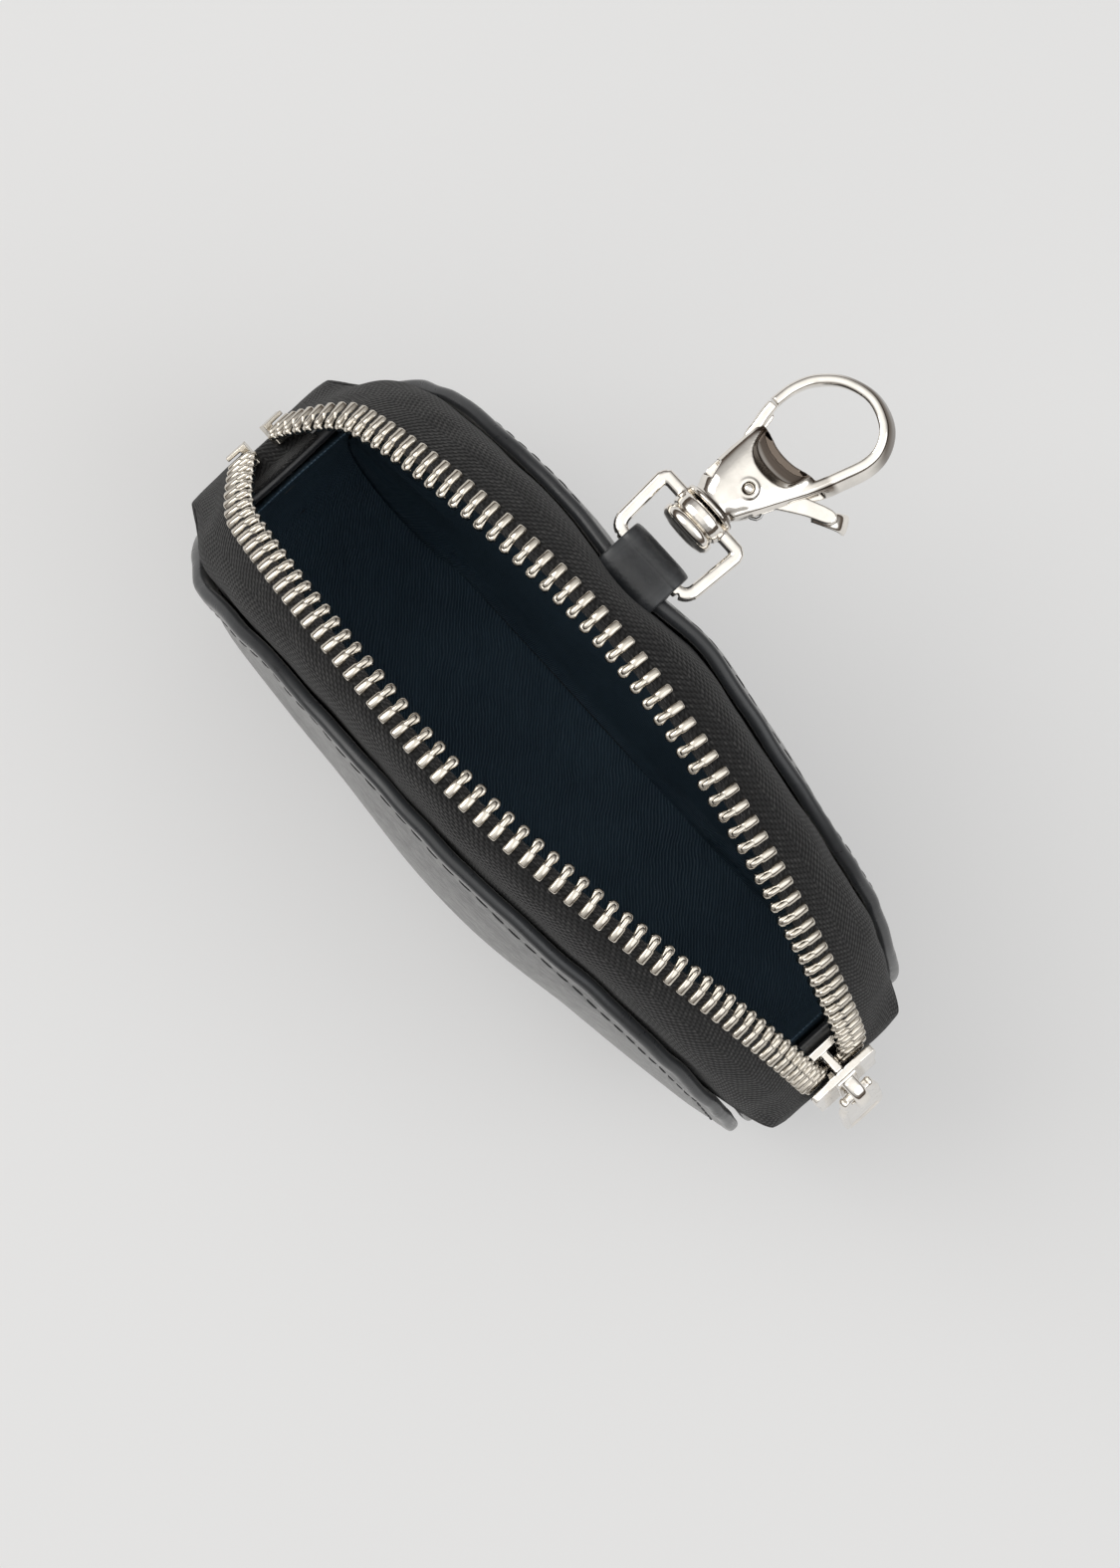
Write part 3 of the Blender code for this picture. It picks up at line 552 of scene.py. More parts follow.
LEATHER = leather_material("black_leather")
TAPE = tape_material()
LINING = lining_material()
NICKEL = metal_material("nickel_plate", (0.93, 0.89, 0.83, 1.0), 0.10, 0.10)
TOOTH_METAL = metal_material("tooth_nickel", (0.70, 0.65, 0.57, 1.0), 0.16, 0.25)
# The hook's metal gets a painted dark reflection on its far walls and scoop.
HOOK_METAL = metal_material("hook_nickel", (0.93, 0.89, 0.83, 1.0), 0.10, 0.10, 0.9)
STEEL = metal_material("spring_steel", (0.50, 0.50, 0.50, 1.0), 0.3)
THREAD = thread_material()


# ------------------------------------------------------------ leather panels


def outline(count):
    """Points round a panel's outline by arc length, clockwise from the left end of the arch."""
    turn = np.linspace(-0.5 * np.pi, 0.5 * np.pi, 900)
    arch = np.stack([HALF_LENGTH * np.sin(turn), ARCH_Z + HALF_LENGTH * np.cos(turn)], 1)
    straight = HALF_LENGTH - CORNER_R
    corner = np.linspace(0.5 * np.pi, np.pi, 300)
    right = np.stack([straight + CORNER_R * np.sin(corner), CORNER_R + CORNER_R * np.cos(corner)], 1)
    left = right[::-1] * np.array([-1.0, 1.0])
    path = np.concatenate([arch, right, left, arch[:1]])
    steps = np.linalg.norm(np.diff(path, axis=0), axis=1)
    path = path[np.concatenate([[True], steps > 1e-9])]
    length = arc_length(path)
    at = np.linspace(0.0, length[-1], count, endpoint=False)
    return points_at(at, length, path), at


def panel_frame(count):
    """Outline points, arc lengths and inward normals in the XZ plane."""
    points, at = outline(count)
    ahead = unit_rows(np.roll(points, -1, 0) - np.roll(points, 1, 0))
    return points, at, -left_of(ahead)


def panel_surface(x, z, side, at, distance, seed):
    """Mid surface of a panel in the looks model: the frame's wall with its soft dents and edge waves."""
    y = wall_y(x, z, side)
    flat = np.stack([x, z, 0.0 * x], -1).reshape(-1, 3)
    slow = wave(flat, 17.0 * MM, seed).reshape(x.shape)
    quick = wave(flat, 6.0 * MM, seed + 3).reshape(x.shape)
    arch = smooth((z - 34.0 * MM) / (20.0 * MM))
    near_edge = np.exp(-((distance / (7.0 * MM)) ** 2)) * arch
    ends = smooth((np.abs(x) - 30.0 * MM) / (15.0 * MM)) * arch
    y = y + 0.55 * MM * slow * np.clip(distance / (6.0 * MM), 0.0, 1.0)
    y = y + (0.28 + 0.35 * ends) * MM * quick * near_edge
    return y * side


def panel(label, side):
    """One leather side: a closed shell with a rounded, painted edge and a stitched margin."""
    count = 420
    points, at, inward = panel_frame(count)
    centre = np.array([0.0, 33.0 * MM])
    arm = points - centre
    support = np.abs((arm * inward).sum(1))
    near = np.array([0.0, 0.03, 0.12, 0.28, 0.5, 0.75, 1.0, 1.4, 1.9, 2.5, 2.9, 3.2, 3.5, 3.9, 4.5]) * MM
    shares = [1.0 - d / support for d in near]
    last = shares[-1]
    shares += [last * (1.0 - t) for t in np.linspace(0.0, 0.985, 26)[1:]]
    share = np.array(shares)
    x = centre[0] + arm[None, :, 0] * share
    z = centre[1] + arm[None, :, 1] * share
    distance = (1.0 - share) * support
    y = panel_surface(x, z, side, at, distance, 1.0 if side > 0 else 5.0)
    grid = np.stack([x, y, z], -1)
    half = 0.5 * PANEL_T * rim(distance, 0.9 * MM)
    groove = 0.07 * MM * np.exp(-(((distance - SEAM_INSET) / (0.4 * MM)) ** 2))
    closed = np.concatenate([grid, grid[:, :1]], 1)
    normal = normals_of(closed)[:, :-1]
    normal *= side * np.sign(normal[..., 1:2])
    outer = grid + normal * (half - groove)[..., None]
    inner = grid - normal * half[..., None]
    rings = len(share)
    total = rings * count
    faces = grid_faces(rings, count, wrap=True)
    faces = faces + [tuple(total + i for i in reversed(face)) for face in faces]
    flow = np.stack([np.broadcast_to(at, distance.shape), distance, distance], -1) / MM
    middle = [outer[-1].mean(0), inner[-1].mean(0)]
    for k, base in enumerate((total - count, 2 * total - count)):
        ring = [(base + j, base + (j + 1) % count, 2 * total + k) for j in range(count)]
        faces += ring if k == 0 else [tuple(reversed(face)) for face in ring]
    everything = np.concatenate([outer.reshape(-1, 3), inner.reshape(-1, 3), middle])
    flows = np.concatenate([flow.reshape(-1, 3), flow.reshape(-1, 3), [[0.0, 30.0, 30.0]] * 2])
    obj = tidy_mesh(piece(label + "_panel_leather", everything, faces, LEATHER, flows))
    stand_for(obj, label + "_panel")
    split_and_close(obj, label + "_panel")
    seam(label, side, outer, distance)


def seam(label, side, outer, distance):
    """Saddle stitches sunk in the groove round the panel's margin."""
    ring = int(np.argmin(np.abs(distance[:, 0] - SEAM_INSET)))
    path = np.concatenate([outer[ring], outer[ring][:1]])
    length = arc_length(path)
    around = length[-1]
    pitch = around / round(around / STITCH_PITCH)
    halves = {True: [], False: []}
    out = np.array([0.0, side, 0.0])
    for k in range(int(round(around / pitch))):
        places = np.linspace(k * pitch + 0.28 * MM, (k + 1) * pitch - 0.28 * MM, 9)
        line = points_at(places, length, path)
        middle = line[4]
        lift = 0.09 * MM * np.sin(np.linspace(0.0, np.pi, 9)) ** 0.5 - 0.06 * MM
        halves[middle[0] > SPLIT_X].append(tube(line + lift[:, None] * out, STITCH_R, out))
    for right, parts in halves.items():
        name = f"{label}_seam_{'right' if right else 'left'}"
        obj = joined(name, parts, THREAD)
        close_with(obj)


def tube(line, radius, up, sides=8, taper=True):
    """Points, faces and flow of a round thread along a line."""
    ahead = unit_rows(np.gradient(line, axis=0))
    across = unit_rows(np.cross(ahead, up))
    over = np.cross(across, ahead)
    count = len(line)
    size = np.full(count, radius)
    if taper:
        t = np.abs(np.linspace(-1.0, 1.0, count))
        size = radius * np.sqrt(np.maximum(1.0 - t**6, 0.02))
    turn = np.linspace(0.0, 2.0 * np.pi, sides, endpoint=False)
    ring = across[:, None] * np.cos(turn)[None, :, None] + over[:, None] * np.sin(turn)[None, :, None]
    points = line[:, None] + ring * size[:, None, None]
    step = np.linalg.norm(line[1] - line[0]) / MM
    flow = np.zeros((count, sides, 3))
    flow[..., 0] = (np.arange(count) * step)[:, None]
    flow[..., 1] = turn[None]
    return points.reshape(-1, 3), capped_tube(count, sides), flow.reshape(-1, 3)


def joined(name, parts, mat):
    """One mesh from many (points, faces, flow) parts."""
    points, faces, flows, shift = [], [], [], 0
    for part_points, part_faces, part_flow in parts:
        points.append(part_points)
        flows.append(part_flow)
        faces += [tuple(shift + i for i in face) for face in part_faces]
        shift += len(part_points)
    return tidy_mesh(piece(name, np.concatenate(points), faces, mat, np.concatenate(flows)), 1e-9)


# ------------------------------------------------------------ gussets and base


def gusset_path(end):
    """The outline from under the base round the lower corner to behind the zip tape's end."""
    mid = PANEL_T / 2.0
    radius = CORNER_R - mid
    corner_x = HALF_LENGTH - CORNER_R
    turn = np.linspace(0.0, 0.5 * np.pi, 30)
    path = [(corner_x + radius * math.sin(t), CORNER_R - radius * math.cos(t)) for t in turn]
    path += [(HALF_LENGTH - mid - 0.1 * MM, z * MM) for z in (23.5, 25.0, 26.5, 28.0, 29.5, 31.0, 32.5, 34.0)]
    path += [tuple(zip_point(deg, GUSSET_R)) for deg in np.linspace(90.5, 73.0, 22)]
    path = np.array(path)
    path[:, 0] = end * (path[:, 0] + 0.3 * MM)
    return path


def strip(name, path, half_width, thick, mat, sink=None, columns=45):
    """A leather or fabric strip across the purse that follows a path in the XZ plane."""
    count = len(path)
    lengths = arc_length(path)
    edge = np.array([0.0, 0.04, 0.14, 0.32, 0.6, 1.0, 1.6]) * MM
    widths = np.broadcast_to(half_width, count)
    out = left_of(unit_rows(np.gradient(path, axis=0)))
    grid = np.zeros((count, columns, 3))
    distance = np.zeros((count, columns))
    for i in range(count):
        w = widths[i]
        inner = np.linspace(-w + edge[-1], w - edge[-1], columns - 2 * len(edge) + 2)[1:-1]
        y = np.concatenate([-w + edge, inner, (w - edge)[::-1]])
        dip = 0.0 if sink is None else sink[i]
        depth = dip * np.cos(0.5 * np.pi * y / w) ** 2
        grid[i, :, 0] = path[i, 0] + out[i, 0] * depth
        grid[i, :, 1] = y
        grid[i, :, 2] = path[i, 1] + out[i, 1] * depth
        ends = min(lengths[i], lengths[-1] - lengths[i])
        distance[i] = np.minimum(w - np.abs(y), ends)
    half = 0.5 * thick * rim(distance, 0.5 * thick)
    flow = np.stack([np.broadcast_to(lengths[:, None], distance.shape), grid[..., 1], distance], -1)
    return shell(name, grid, half, mat, flow.reshape(-1, 3) / MM)


def resample(path, step):
    """A path's points at even steps, with more of them at both ends, where the strip's rim is rounded."""
    length = arc_length(path)
    count = max(int(length[-1] / step), 2)
    at = np.linspace(0.0, length[-1], count)
    rims = np.array([0.05, 0.2, 0.45, 0.8]) * MM
    at = np.sort(np.concatenate([at, rims, length[-1] - rims]))
    return points_at(at, length, path)


def gussets():
    """The leather band: both side gussets and the base between the two panels."""
    for label, end in (("left", -1.0), ("right", 1.0)):
        path = resample(gusset_path(end), 0.9 * MM)
        lean = wall_y(np.full(len(path), end * (HALF_LENGTH - 0.5 * MM)), path[:, 1]) - HALF_DEPTH
        rise = smooth((path[:, 1] - 8.0 * MM) / (30.0 * MM))
        half_width = GUSSET_HALF + lean * 0.5 * rise
        dip = end * 1.1 * MM * np.sin(np.pi * np.linspace(0.0, 1.0, len(path)))
        obj = strip(label + "_gusset_leather", path, half_width, PANEL_T, LEATHER, dip)
        stand_for(obj, label + "_gusset", "base")
    low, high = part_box("bottom_gusset")
    path = resample(np.array([(low.x, high.z / 2.0), (high.x, high.z / 2.0)]), 0.9 * MM)
    obj = strip("bottom_gusset_leather", path, GUSSET_HALF, PANEL_T, LEATHER)
    stand_for(obj, "bottom_gusset", "base")


# ------------------------------------------------------------ zip tapes


def rim_curve(deg, side, inset, start, roll, count):
    """Section across the purse, from beside the tooth row over the shoulder to the edge: (y, radius)."""
    edge_r = leather_edge_radius(deg)
    edge_x, edge_z = zip_point(deg, edge_r)
    edge_y = wall_y(edge_x, edge_z, side) - inset
    first = np.array([row_half(deg, side) + start, ZIP_R - (inset - 1.75 * MM)])
    last = np.array([edge_y * roll + 11.3 * MM * (1.0 - roll), ZIP_R + (edge_r - ZIP_R) * roll])
    shoulder = np.array([last[0], first[1] - 0.5 * MM * roll])
    t = np.linspace(0.0, 1.0, count)[:, None]
    return first * (1 - t) ** 2 + shoulder * 2 * t * (1 - t) + last * t * t


def tape(label, side):
    """One zip tape: from under the teeth over the shoulder, and tucked in behind the leather's edge."""
    degs = np.linspace(*TAPE_ENDS, 330)
    rows = []
    for deg in degs:
        roll = float(smooth((77.5 - abs(deg)) / 10.0))
        section = rim_curve(deg, side, TAPE_INSET, 0.1 * MM, roll, 26)
        edge_r = leather_edge_radius(deg)
        for depth in (0.35, 0.7, 1.0):
            radius = edge_r - 5.0 * MM * depth
            x, z = zip_point(deg, radius)
            tucked = np.array([wall_y(x, z, side) - TAPE_INSET, radius])
            flat = np.array([section[25][0] + depth * 0.4 * MM, ZIP_R])
            section = np.vstack([section, flat + (tucked - flat) * roll])
        end = math.radians(deg - TAPE_ENDS[0] if deg < 0 else TAPE_ENDS[1] - deg) * ZIP_R
        corner, reach = (20.0 * MM, 7.4 * MM) if deg > 0 else (7.5 * MM, 3.4 * MM)
        if end < corner:
            limit = section[-1, 0] - reach * (1.0 - math.sqrt(1.0 - (1.0 - end / corner) ** 2))
            first = section[0, 0]
            section[:, 0] = first + (section[:, 0] - first) * (limit - first) / (section[-1, 0] - first)
        x, z = zip_point(deg, section[:, 1])
        rows.append(np.stack([x, section[:, 0], z], 1))
    grid = np.array(rows)
    step = math.radians(degs[1] - degs[0]) * ZIP_R
    along = np.broadcast_to((np.arange(len(degs)) * step)[:, None], grid.shape[:2])
    across = np.cumsum(np.linalg.norm(np.diff(grid, axis=1, prepend=grid[:, :1]), axis=2), axis=1)
    flat = grid[..., [0, 2, 1]].reshape(-1, 3)
    ripple = wave(flat, 5.0 * MM, 11.0 + side).reshape(grid.shape[:2])
    free = smooth((across - 1.6 * MM) / (3.0 * MM))
    normal = normals_of(grid)
    normal *= np.sign((normal * (grid - np.array([0.0, 0.0, ZIP_Z]))).sum(2, keepdims=True))
    grid = grid + normal * (ripple * free * 0.22 * MM)[..., None]
    grid[..., 1] *= side
    ends = np.minimum(along, along[-1:] - along)
    half = 0.5 * TAPE_T * rim(np.minimum(ends + 0.02 * MM, across + 0.3 * MM), 0.3 * MM)
    flow = np.stack([along, across, ends], -1).reshape(-1, 3) / MM
    obj = shell(label + "_tape_weave", grid, half, TAPE, flow)
    close_rims(obj)
    stand_for(obj, label + "_tape")
    split_and_close(obj, label + "_tape")


def close_rims(obj):
    """Joins the two skins of a shell wherever its rim was left open."""
    bm = bmesh.new()
    bm.from_mesh(obj.data)
    edges = [edge for edge in bm.edges if edge.is_boundary]
    if len(edges) > 3:
        bmesh.ops.bridge_loops(bm, edges=edges)
    bmesh.ops.recalc_face_normals(bm, faces=bm.faces)
    bm.to_mesh(obj.data)
    bm.free()


# ------------------------------------------------------------ teeth


def row_frame(deg, side):
    """Centre, path, across and outward directions of a tooth row."""
    def point(at):
        x, z = zip_point(at, ZIP_R)
        return Vector((x, side * float(row_half(at, side)), z))

    centre = point(deg)
    along = (point(deg + 0.25) - centre).normalized()
    out = Vector((math.sin(math.radians(deg)), 0.0, math.cos(math.radians(deg))))
    across = out.cross(along).normalized()
    return centre, across.cross(out), across, out


# Sections of one tooth in mm: place across the row, half width along it, half height.
TOOTH_PROFILE = [(2.12, 0.40, 0.62), (2.06, 0.54, 0.86), (1.90, 0.63, 0.98), (0.25, 0.65, 1.00)]
TOOTH_PROFILE += [(0.02, 0.60, 0.94), (-0.18, 0.52, 0.64), (-0.50, 0.55, 0.54), (-0.95, 0.70, 0.58)]
TOOTH_PROFILE += [(-1.35, 0.72, 0.56), (-1.70, 0.56, 0.48), (-1.92, 0.26, 0.28)]
RIDGE_PROFILE = [(0.50, 0.36, 0.90), (0.10, 0.42, 0.99), (-0.40, 0.40, 0.97)]
RIDGE_PROFILE += [(-0.95, 0.42, 0.94), (-1.30, 0.36, 0.84), (-1.52, 0.22, 0.64)]


def tooth_body(profile, centre, along, across, out, side, low_share=1.0):
    """Rounded-rectangle sections along a tooth, from its outer end to its head."""
    sides = 14
    turn = np.linspace(0.0, 2.0 * np.pi, sides, endpoint=False) + np.pi / sides
    ring_x, ring_z = superellipse(turn, 0.55)
    ring_z = np.where(ring_z < 0.0, ring_z * low_share, ring_z)
    points = []
    for t, half_width, half_height in profile:
        middle = centre + across * (side * t * MM)
        for a, b in zip(ring_x, ring_z):
            points.append(middle + along * (a * half_width * MM) + out * (b * half_height * MM))
    return plain(points, capped_tube(len(profile), sides))


def teeth(label, side):
    """A row of teeth, each set a little askew, with the cord that they are clamped on."""
    pitch = math.degrees(TOOTH_PITCH / ZIP_R)
    deg = TEETH_ENDS[0] + (0.0 if side > 0 else pitch / 2.0)
    halves = {True: [], False: []}
    rng = np.random.default_rng(7 if side > 0 else 8)
    while deg <= TEETH_ENDS[1]:
        centre, along, across, out = row_frame(deg, side)
        twist = Matrix.Rotation(rng.normal(0.0, 0.012), 3, out)
        tilt = twist @ Matrix.Rotation(rng.normal(0.0, 0.015), 3, across)
        frame_now = (tilt @ along, tilt @ across, tilt @ out)
        right = centre.x > SPLIT_X
        halves[right].append(tooth_body(TOOTH_PROFILE, centre, *frame_now, side))
        halves[right].append(tooth_body(RIDGE_PROFILE, centre, *frame_now, side, 0.2))
        deg += pitch
    for right, parts in halves.items():
        name = f"{label}_teeth_{'right' if right else 'left'}"
        obj = joined(name + "_row", parts, TOOTH_METAL)
        stand_for(obj, label + "_teeth")
        close_with(obj)
        obj = bead(name.replace("teeth", "bead"), side, right)
        close_with(obj)


def bead(name, side, right):
    """The corded edge of the tape, seen as dark weave in the gaps between the teeth."""
    split = math.degrees(math.asin(SPLIT_X / ZIP_R))
    degs = np.linspace(split, 86.0, 190) if right else np.linspace(-81.0, split, 120)
    line = []
    for deg in degs:
        centre, _, across, _ = row_frame(deg, side)
        line.append(centre + across * (side * 0.35 * MM))
    part = tube(np.array(line), 0.62 * MM, np.array([0.0, side, 0.0]), 10, taper=False)
    obj = joined(name, [part], TAPE)
    return obj


# ------------------------------------------------------------ lining


def lining(label, side):
    """The fabric bag's side: it hangs from beside the teeth, then follows the leather down to the base."""
    degs = np.linspace(-82.0, 84.0, 150)
    count = 60
    rows = []
    for deg in degs:
        held = float(np.clip(deg, -74.0, 74.0))
        leather = zip_point(held, leather_edge_radius(held))
        room = float(wall_y(*leather, side)) - LINING_INSET - float(row_half(held, side))
        section = rim_curve(held, side, LINING_INSET, min(SLIDER_ROOM, room - 1.2 * MM), 1.0, 14)
        tucked = 0.35 * MM + 2.8 * MM * float(smooth((abs(deg) - 58.0) / 14.0))
        x, z = zip_point(deg, section[:, 1] - tucked)
        mouth = np.stack([x, section[:, 0] - 0.1 * MM, z], 1)
        foot_x = 48.6 * MM * math.sin(math.radians(np.clip(deg * 90.0 / 72.0, -90.0, 90.0)))
        foot_z = float(bottom_z(foot_x, 3.1 * MM))
        share = np.linspace(0.0, 1.0, count - 14 + 1)[1:, None]
        foot = np.array([foot_x, 0.0, foot_z])
        body = mouth[-1] * (1.0 - share) + foot * share
        body[:, 1] = wall_y(body[:, 0], body[:, 2], side) - LINING_INSET
        rows.append(np.vstack([mouth, body]))
    grid = np.array(rows)
    across = np.cumsum(np.linalg.norm(np.diff(grid, axis=1, prepend=grid[:, :1]), axis=2), axis=1)
    along = np.cumsum(np.linalg.norm(np.diff(grid, axis=0, prepend=grid[:1]), axis=2), axis=0)
    grid[..., 1] *= side
    grid = crumple(grid, side)
    flow = np.stack([along, across * side, across], -1).reshape(-1, 3) / MM
    half = np.full(grid.shape[:2], 0.5 * LINING_T)
    obj = shell(label + "_lining_cloth", grid, half, LINING, flow)
    close_rims(obj)
    stand_for(obj, label + "_lining")
    split_and_close(obj, label + "_lining")


def crumple(grid, side):
    """Cloth simulation of a lining sheet held at its borders, with some spare fabric, at a larger scale.

    The first and last rows share points at the zip ends, which stops the solver, so they are left out.
    """
    size = 25.0
    core = grid[12:-14]
    rows, columns = core.shape[:2]
    sheet = piece("lining_trial", core * size, grid_faces(rows, columns), LINING)
    held = sheet.vertex_groups.new(name="held")
    border = np.zeros((rows, columns), bool)
    border[[0, -1], :] = True
    border[:, -1] = True
    border[:, :13] = True
    held.add([int(i) for i in np.flatnonzero(border.ravel())], 1.0, "REPLACE")
    cloth = sheet.modifiers.new("Cloth", "CLOTH")
    setup = cloth.settings
    setup.vertex_group_mass = "held"
    setup.mass = 0.25
    setup.tension_stiffness = 12.0
    setup.compression_stiffness = 6.0
    setup.shear_stiffness = 4.0
    setup.bending_stiffness = 0.08
    setup.shrink_min = -0.025
    setup.quality = 6
    setup.effector_weights.gravity = 0.25
    cloth.collision_settings.use_collision = False
    cloth.point_cache.frame_start = 1
    cloth.point_cache.frame_end = 40
    scene = bpy.context.scene
    for step in range(1, 37):
        scene.frame_set(step)
    graph = bpy.context.evaluated_depsgraph_get()
    result = sheet.evaluated_get(graph)
    found = np.zeros(rows * columns * 3)
    result.data.vertices.foreach_get("co", found)
    bpy.data.objects.remove(sheet, do_unlink=True)
    scene.frame_set(1)
    move = found.reshape(rows, columns, 3) / size - core
    length = np.linalg.norm(move, axis=2, keepdims=True)
    most = 3.0 * MM
    move *= most * np.tanh(length / most) / np.maximum(length, 1e-9)
    outward = move[..., 1] * side
    slack = 0.45 * MM
    move[..., 1] = side * np.where(outward > 0.0, slack * np.tanh(outward / slack), outward)
    result = grid.copy()
    result[12:-14] += move
    return result


def base_lining():
    """The lining's own strip: over the base and up inside both side gussets to the zip ends."""
    path = gusset_path(1.0)
    inside = path + left_of(unit_rows(np.gradient(path, axis=0))) * LINING_GAP
    whole = np.concatenate([inside[::-1] * np.array([-1.0, 1.0]), inside])
    whole = resample(whole, 1.0 * MM)
    sag = 0.35 * MM * wave(np.stack([whole[:, 0], whole[:, 1], 0 * whole[:, 0]], 1), 7.0 * MM, 2.0)
    obj = strip("base_lining_cloth", whole, LINING_HALF, LINING_T, LINING, sag, 61)
    stand_for(obj, "base_lining", "base")


# ------------------------------------------------------------ hardware


def curve_through(points, count, closed=False):
    """A smooth curve through the points (Catmull-Rom), evenly sampled."""
    pts = np.array(points, float)
    if closed:
        pts = np.vstack([pts[-1:], pts, pts[:2]])
    else:
        pts = np.vstack([2 * pts[0] - pts[1], pts, 2 * pts[-1] - pts[-2]])
    found = []
    for a, b, c, d in zip(pts[:-3], pts[1:-2], pts[2:-1], pts[3:]):
        for t in np.linspace(0.0, 1.0, 16, endpoint=False):
            cubic = (3 * b - a - 3 * c + d) * t**3 + (2 * a - 5 * b + 4 * c - d) * t**2
            found.append(0.5 * (2 * b + (c - a) * t + cubic))
    found = np.array(found if closed else found + [pts[-2]])
    whole = np.vstack([found, found[:1]]) if closed else found
    length = arc_length(whole)
    return points_at(np.linspace(0.0, length[-1], count, endpoint=not closed), length, whole)


def flat_points(pairs, height=0.0):
    """Points in the hook's plane, given in mm from the frame's origin."""
    return [(x * MM, y * MM, HOOK_Z + height * MM) for x, y in pairs]


def sweep(line, wide, half_wide, half_thin, power=0.6, sides=28, closed=False, draft=0.0):
    """A rounded-rectangle section carried along a flat path; wide is the direction across its plane."""
    line = np.array(line, float)
    wide = np.array(wide, float)
    if closed:
        ahead = np.roll(line, -1, 0) - np.roll(line, 1, 0)
    else:
        ahead = np.gradient(line, axis=0)
    thin = unit_rows(np.cross(unit_rows(ahead), wide))
    count = len(line)
    turn = np.linspace(0.0, 2.0 * np.pi, sides, endpoint=False) + np.pi / sides
    a, b = superellipse(turn, power)
    half_wide = np.broadcast_to(half_wide, count)[:, None]
    half_thin = np.broadcast_to(half_thin, count)[:, None]
    lean = np.broadcast_to(draft, count)[:, None] * (1.0 - a[None]) * 0.5
    shift = b[None] * half_thin + lean
    points = line[:, None] + wide * (a[None] * half_wide)[..., None] + thin[:, None] * shift[..., None]
    faces = capped_tube(count, sides)
    if closed:
        last = (count - 1) * sides
        faces[-2:] = [(last + j, last + (j + 1) % sides, (j + 1) % sides, j) for j in range(sides)]
    parts = (arc_length(line)[:, None], a[None] * half_wide, (1.0 - np.abs(a[None])) * half_wide)
    flow = np.stack([np.broadcast_to(part, shift.shape) for part in parts], -1)
    return points.reshape(-1, 3), faces, flow.reshape(-1, 3) / MM


def lathe(profile, start, axis, sides=40):
    """(radius, distance along the axis) pairs in mm, turned about an axis from a start point."""
    axis = Vector(axis).normalized()
    first = axis.orthogonal().normalized()
    second = axis.cross(first)
    points = []
    for radius, along in profile:
        middle = Vector(start) + axis * along * MM
        for k in range(sides):
            turn = 2.0 * math.pi * k / sides
            points.append(middle + (first * math.cos(turn) + second * math.sin(turn)) * radius * MM)
    return plain(points, capped_tube(len(profile), sides))


def stack(outlines, heights, place):
    """A solid through several outlines of equal length, in mm, at the given heights."""
    points = []
    for line, z in zip(outlines, heights):
        points += [place @ Vector((x * MM, y * MM, z * MM)) for x, y in line]
    return plain(points, capped_tube(len(outlines), len(outlines[0])))


def slab(outline, half, place):
    """A flat outline in mm with thickness to both sides, placed by a matrix."""
    return stack([outline, outline], (-half, half), place)


def block(size, place):
    x, y = size[0] / 2.0, size[1] / 2.0
    return slab([(-x, -y), (x, -y), (x, y), (-x, y)], size[2] / 2.0, place)


def skin(obj, voxel):
    """One closed skin over all that overlaps; voxel in mm."""
    remesh = obj.modifiers.new("Skin", "REMESH")
    remesh.mode = "VOXEL"
    remesh.voxel_size = voxel * MM
    remesh.use_smooth_shade = True


def soften(obj, rounds):
    smoothing = obj.modifiers.new("Soften", "SMOOTH")
    smoothing.factor = 0.5
    smoothing.iterations = rounds


def fused(name, parts, mat, voxel, rounds, cutters=()):
    """Overlapping parts made one casting: skinned with voxels, cut, and its edges rounded by smoothing."""
    obj = joined(name, parts, mat)
    helpers = []
    skin(obj, voxel)
    for cutter in cutters:
        helper = joined(f"{name}_cutter_{len(helpers)}", [cutter], mat)
        helpers.append(helper)
        cut = obj.modifiers.new("Cut", "BOOLEAN")
        cut.operation = "DIFFERENCE"
        cut.solver = "EXACT"
        cut.object = helper
    if cutters:
        skin(obj, voxel)
    soften(obj, rounds)
    bpy.context.view_layer.update()
    graph = bpy.context.evaluated_depsgraph_get()
    mesh = bpy.data.meshes.new_from_object(obj.evaluated_get(graph))
    obj.modifiers.clear()
    obj.data = mesh
    mesh.shade_smooth()
    for helper in helpers:
        bpy.data.objects.remove(helper, do_unlink=True)
    return obj


# The hook's outlines, in mm from the frame's origin, seen from above.
RING_PATH = [(-6.4, 33.4), (-4.2, 37.8), (-2.3, 42.0), (-0.9, 46.0), (0.05, 49.4), (-0.3, 51.9)]
RING_PATH += [(-2.0, 53.9), (-5.2, 54.9), (-8.7, 53.9), (-11.1, 51.6), (-12.2, 49.0), (-12.5, 46.2)]
HOLE_OUTLINE = [(-11.7, 46.0), (-11.6, 48.0), (-10.6, 50.5), (-8.5, 52.7), (-5.5, 53.8), (-2.9, 53.0)]
HOLE_OUTLINE += [(-1.2, 51.5), (-0.8, 49.6), (-1.7, 46.4), (-2.8, 44.5), (-4.3, 43.1), (-6.4, 42.6)]
HOLE_OUTLINE += [(-8.8, 42.8), (-10.7, 43.9)]
BODY_SECTIONS = [(32.55, -8.5, 2.7, 2.7, 1.0), (33.0, -8.45, 3.0, 2.8, 1.0), (33.8, -8.35, 3.5, 2.8, 0.95)]
BODY_SECTIONS += [(35.2, -8.15, 4.15, 2.75, 0.88), (37.0, -7.75, 4.55, 2.65, 0.82)]
BODY_SECTIONS += [(39.0, -7.3, 4.95, 2.55, 0.76), (41.0, -6.9, 5.25, 2.4, 0.72)]
BODY_SECTIONS += [(42.6, -6.7, 5.3, 2.1, 0.72), (43.4, -6.6, 5.1, 1.7, 0.72)]
ALONG_Y = (0.0, 1.0, 0.0)
ALONG_Z = (0.0, 0.0, 1.0)


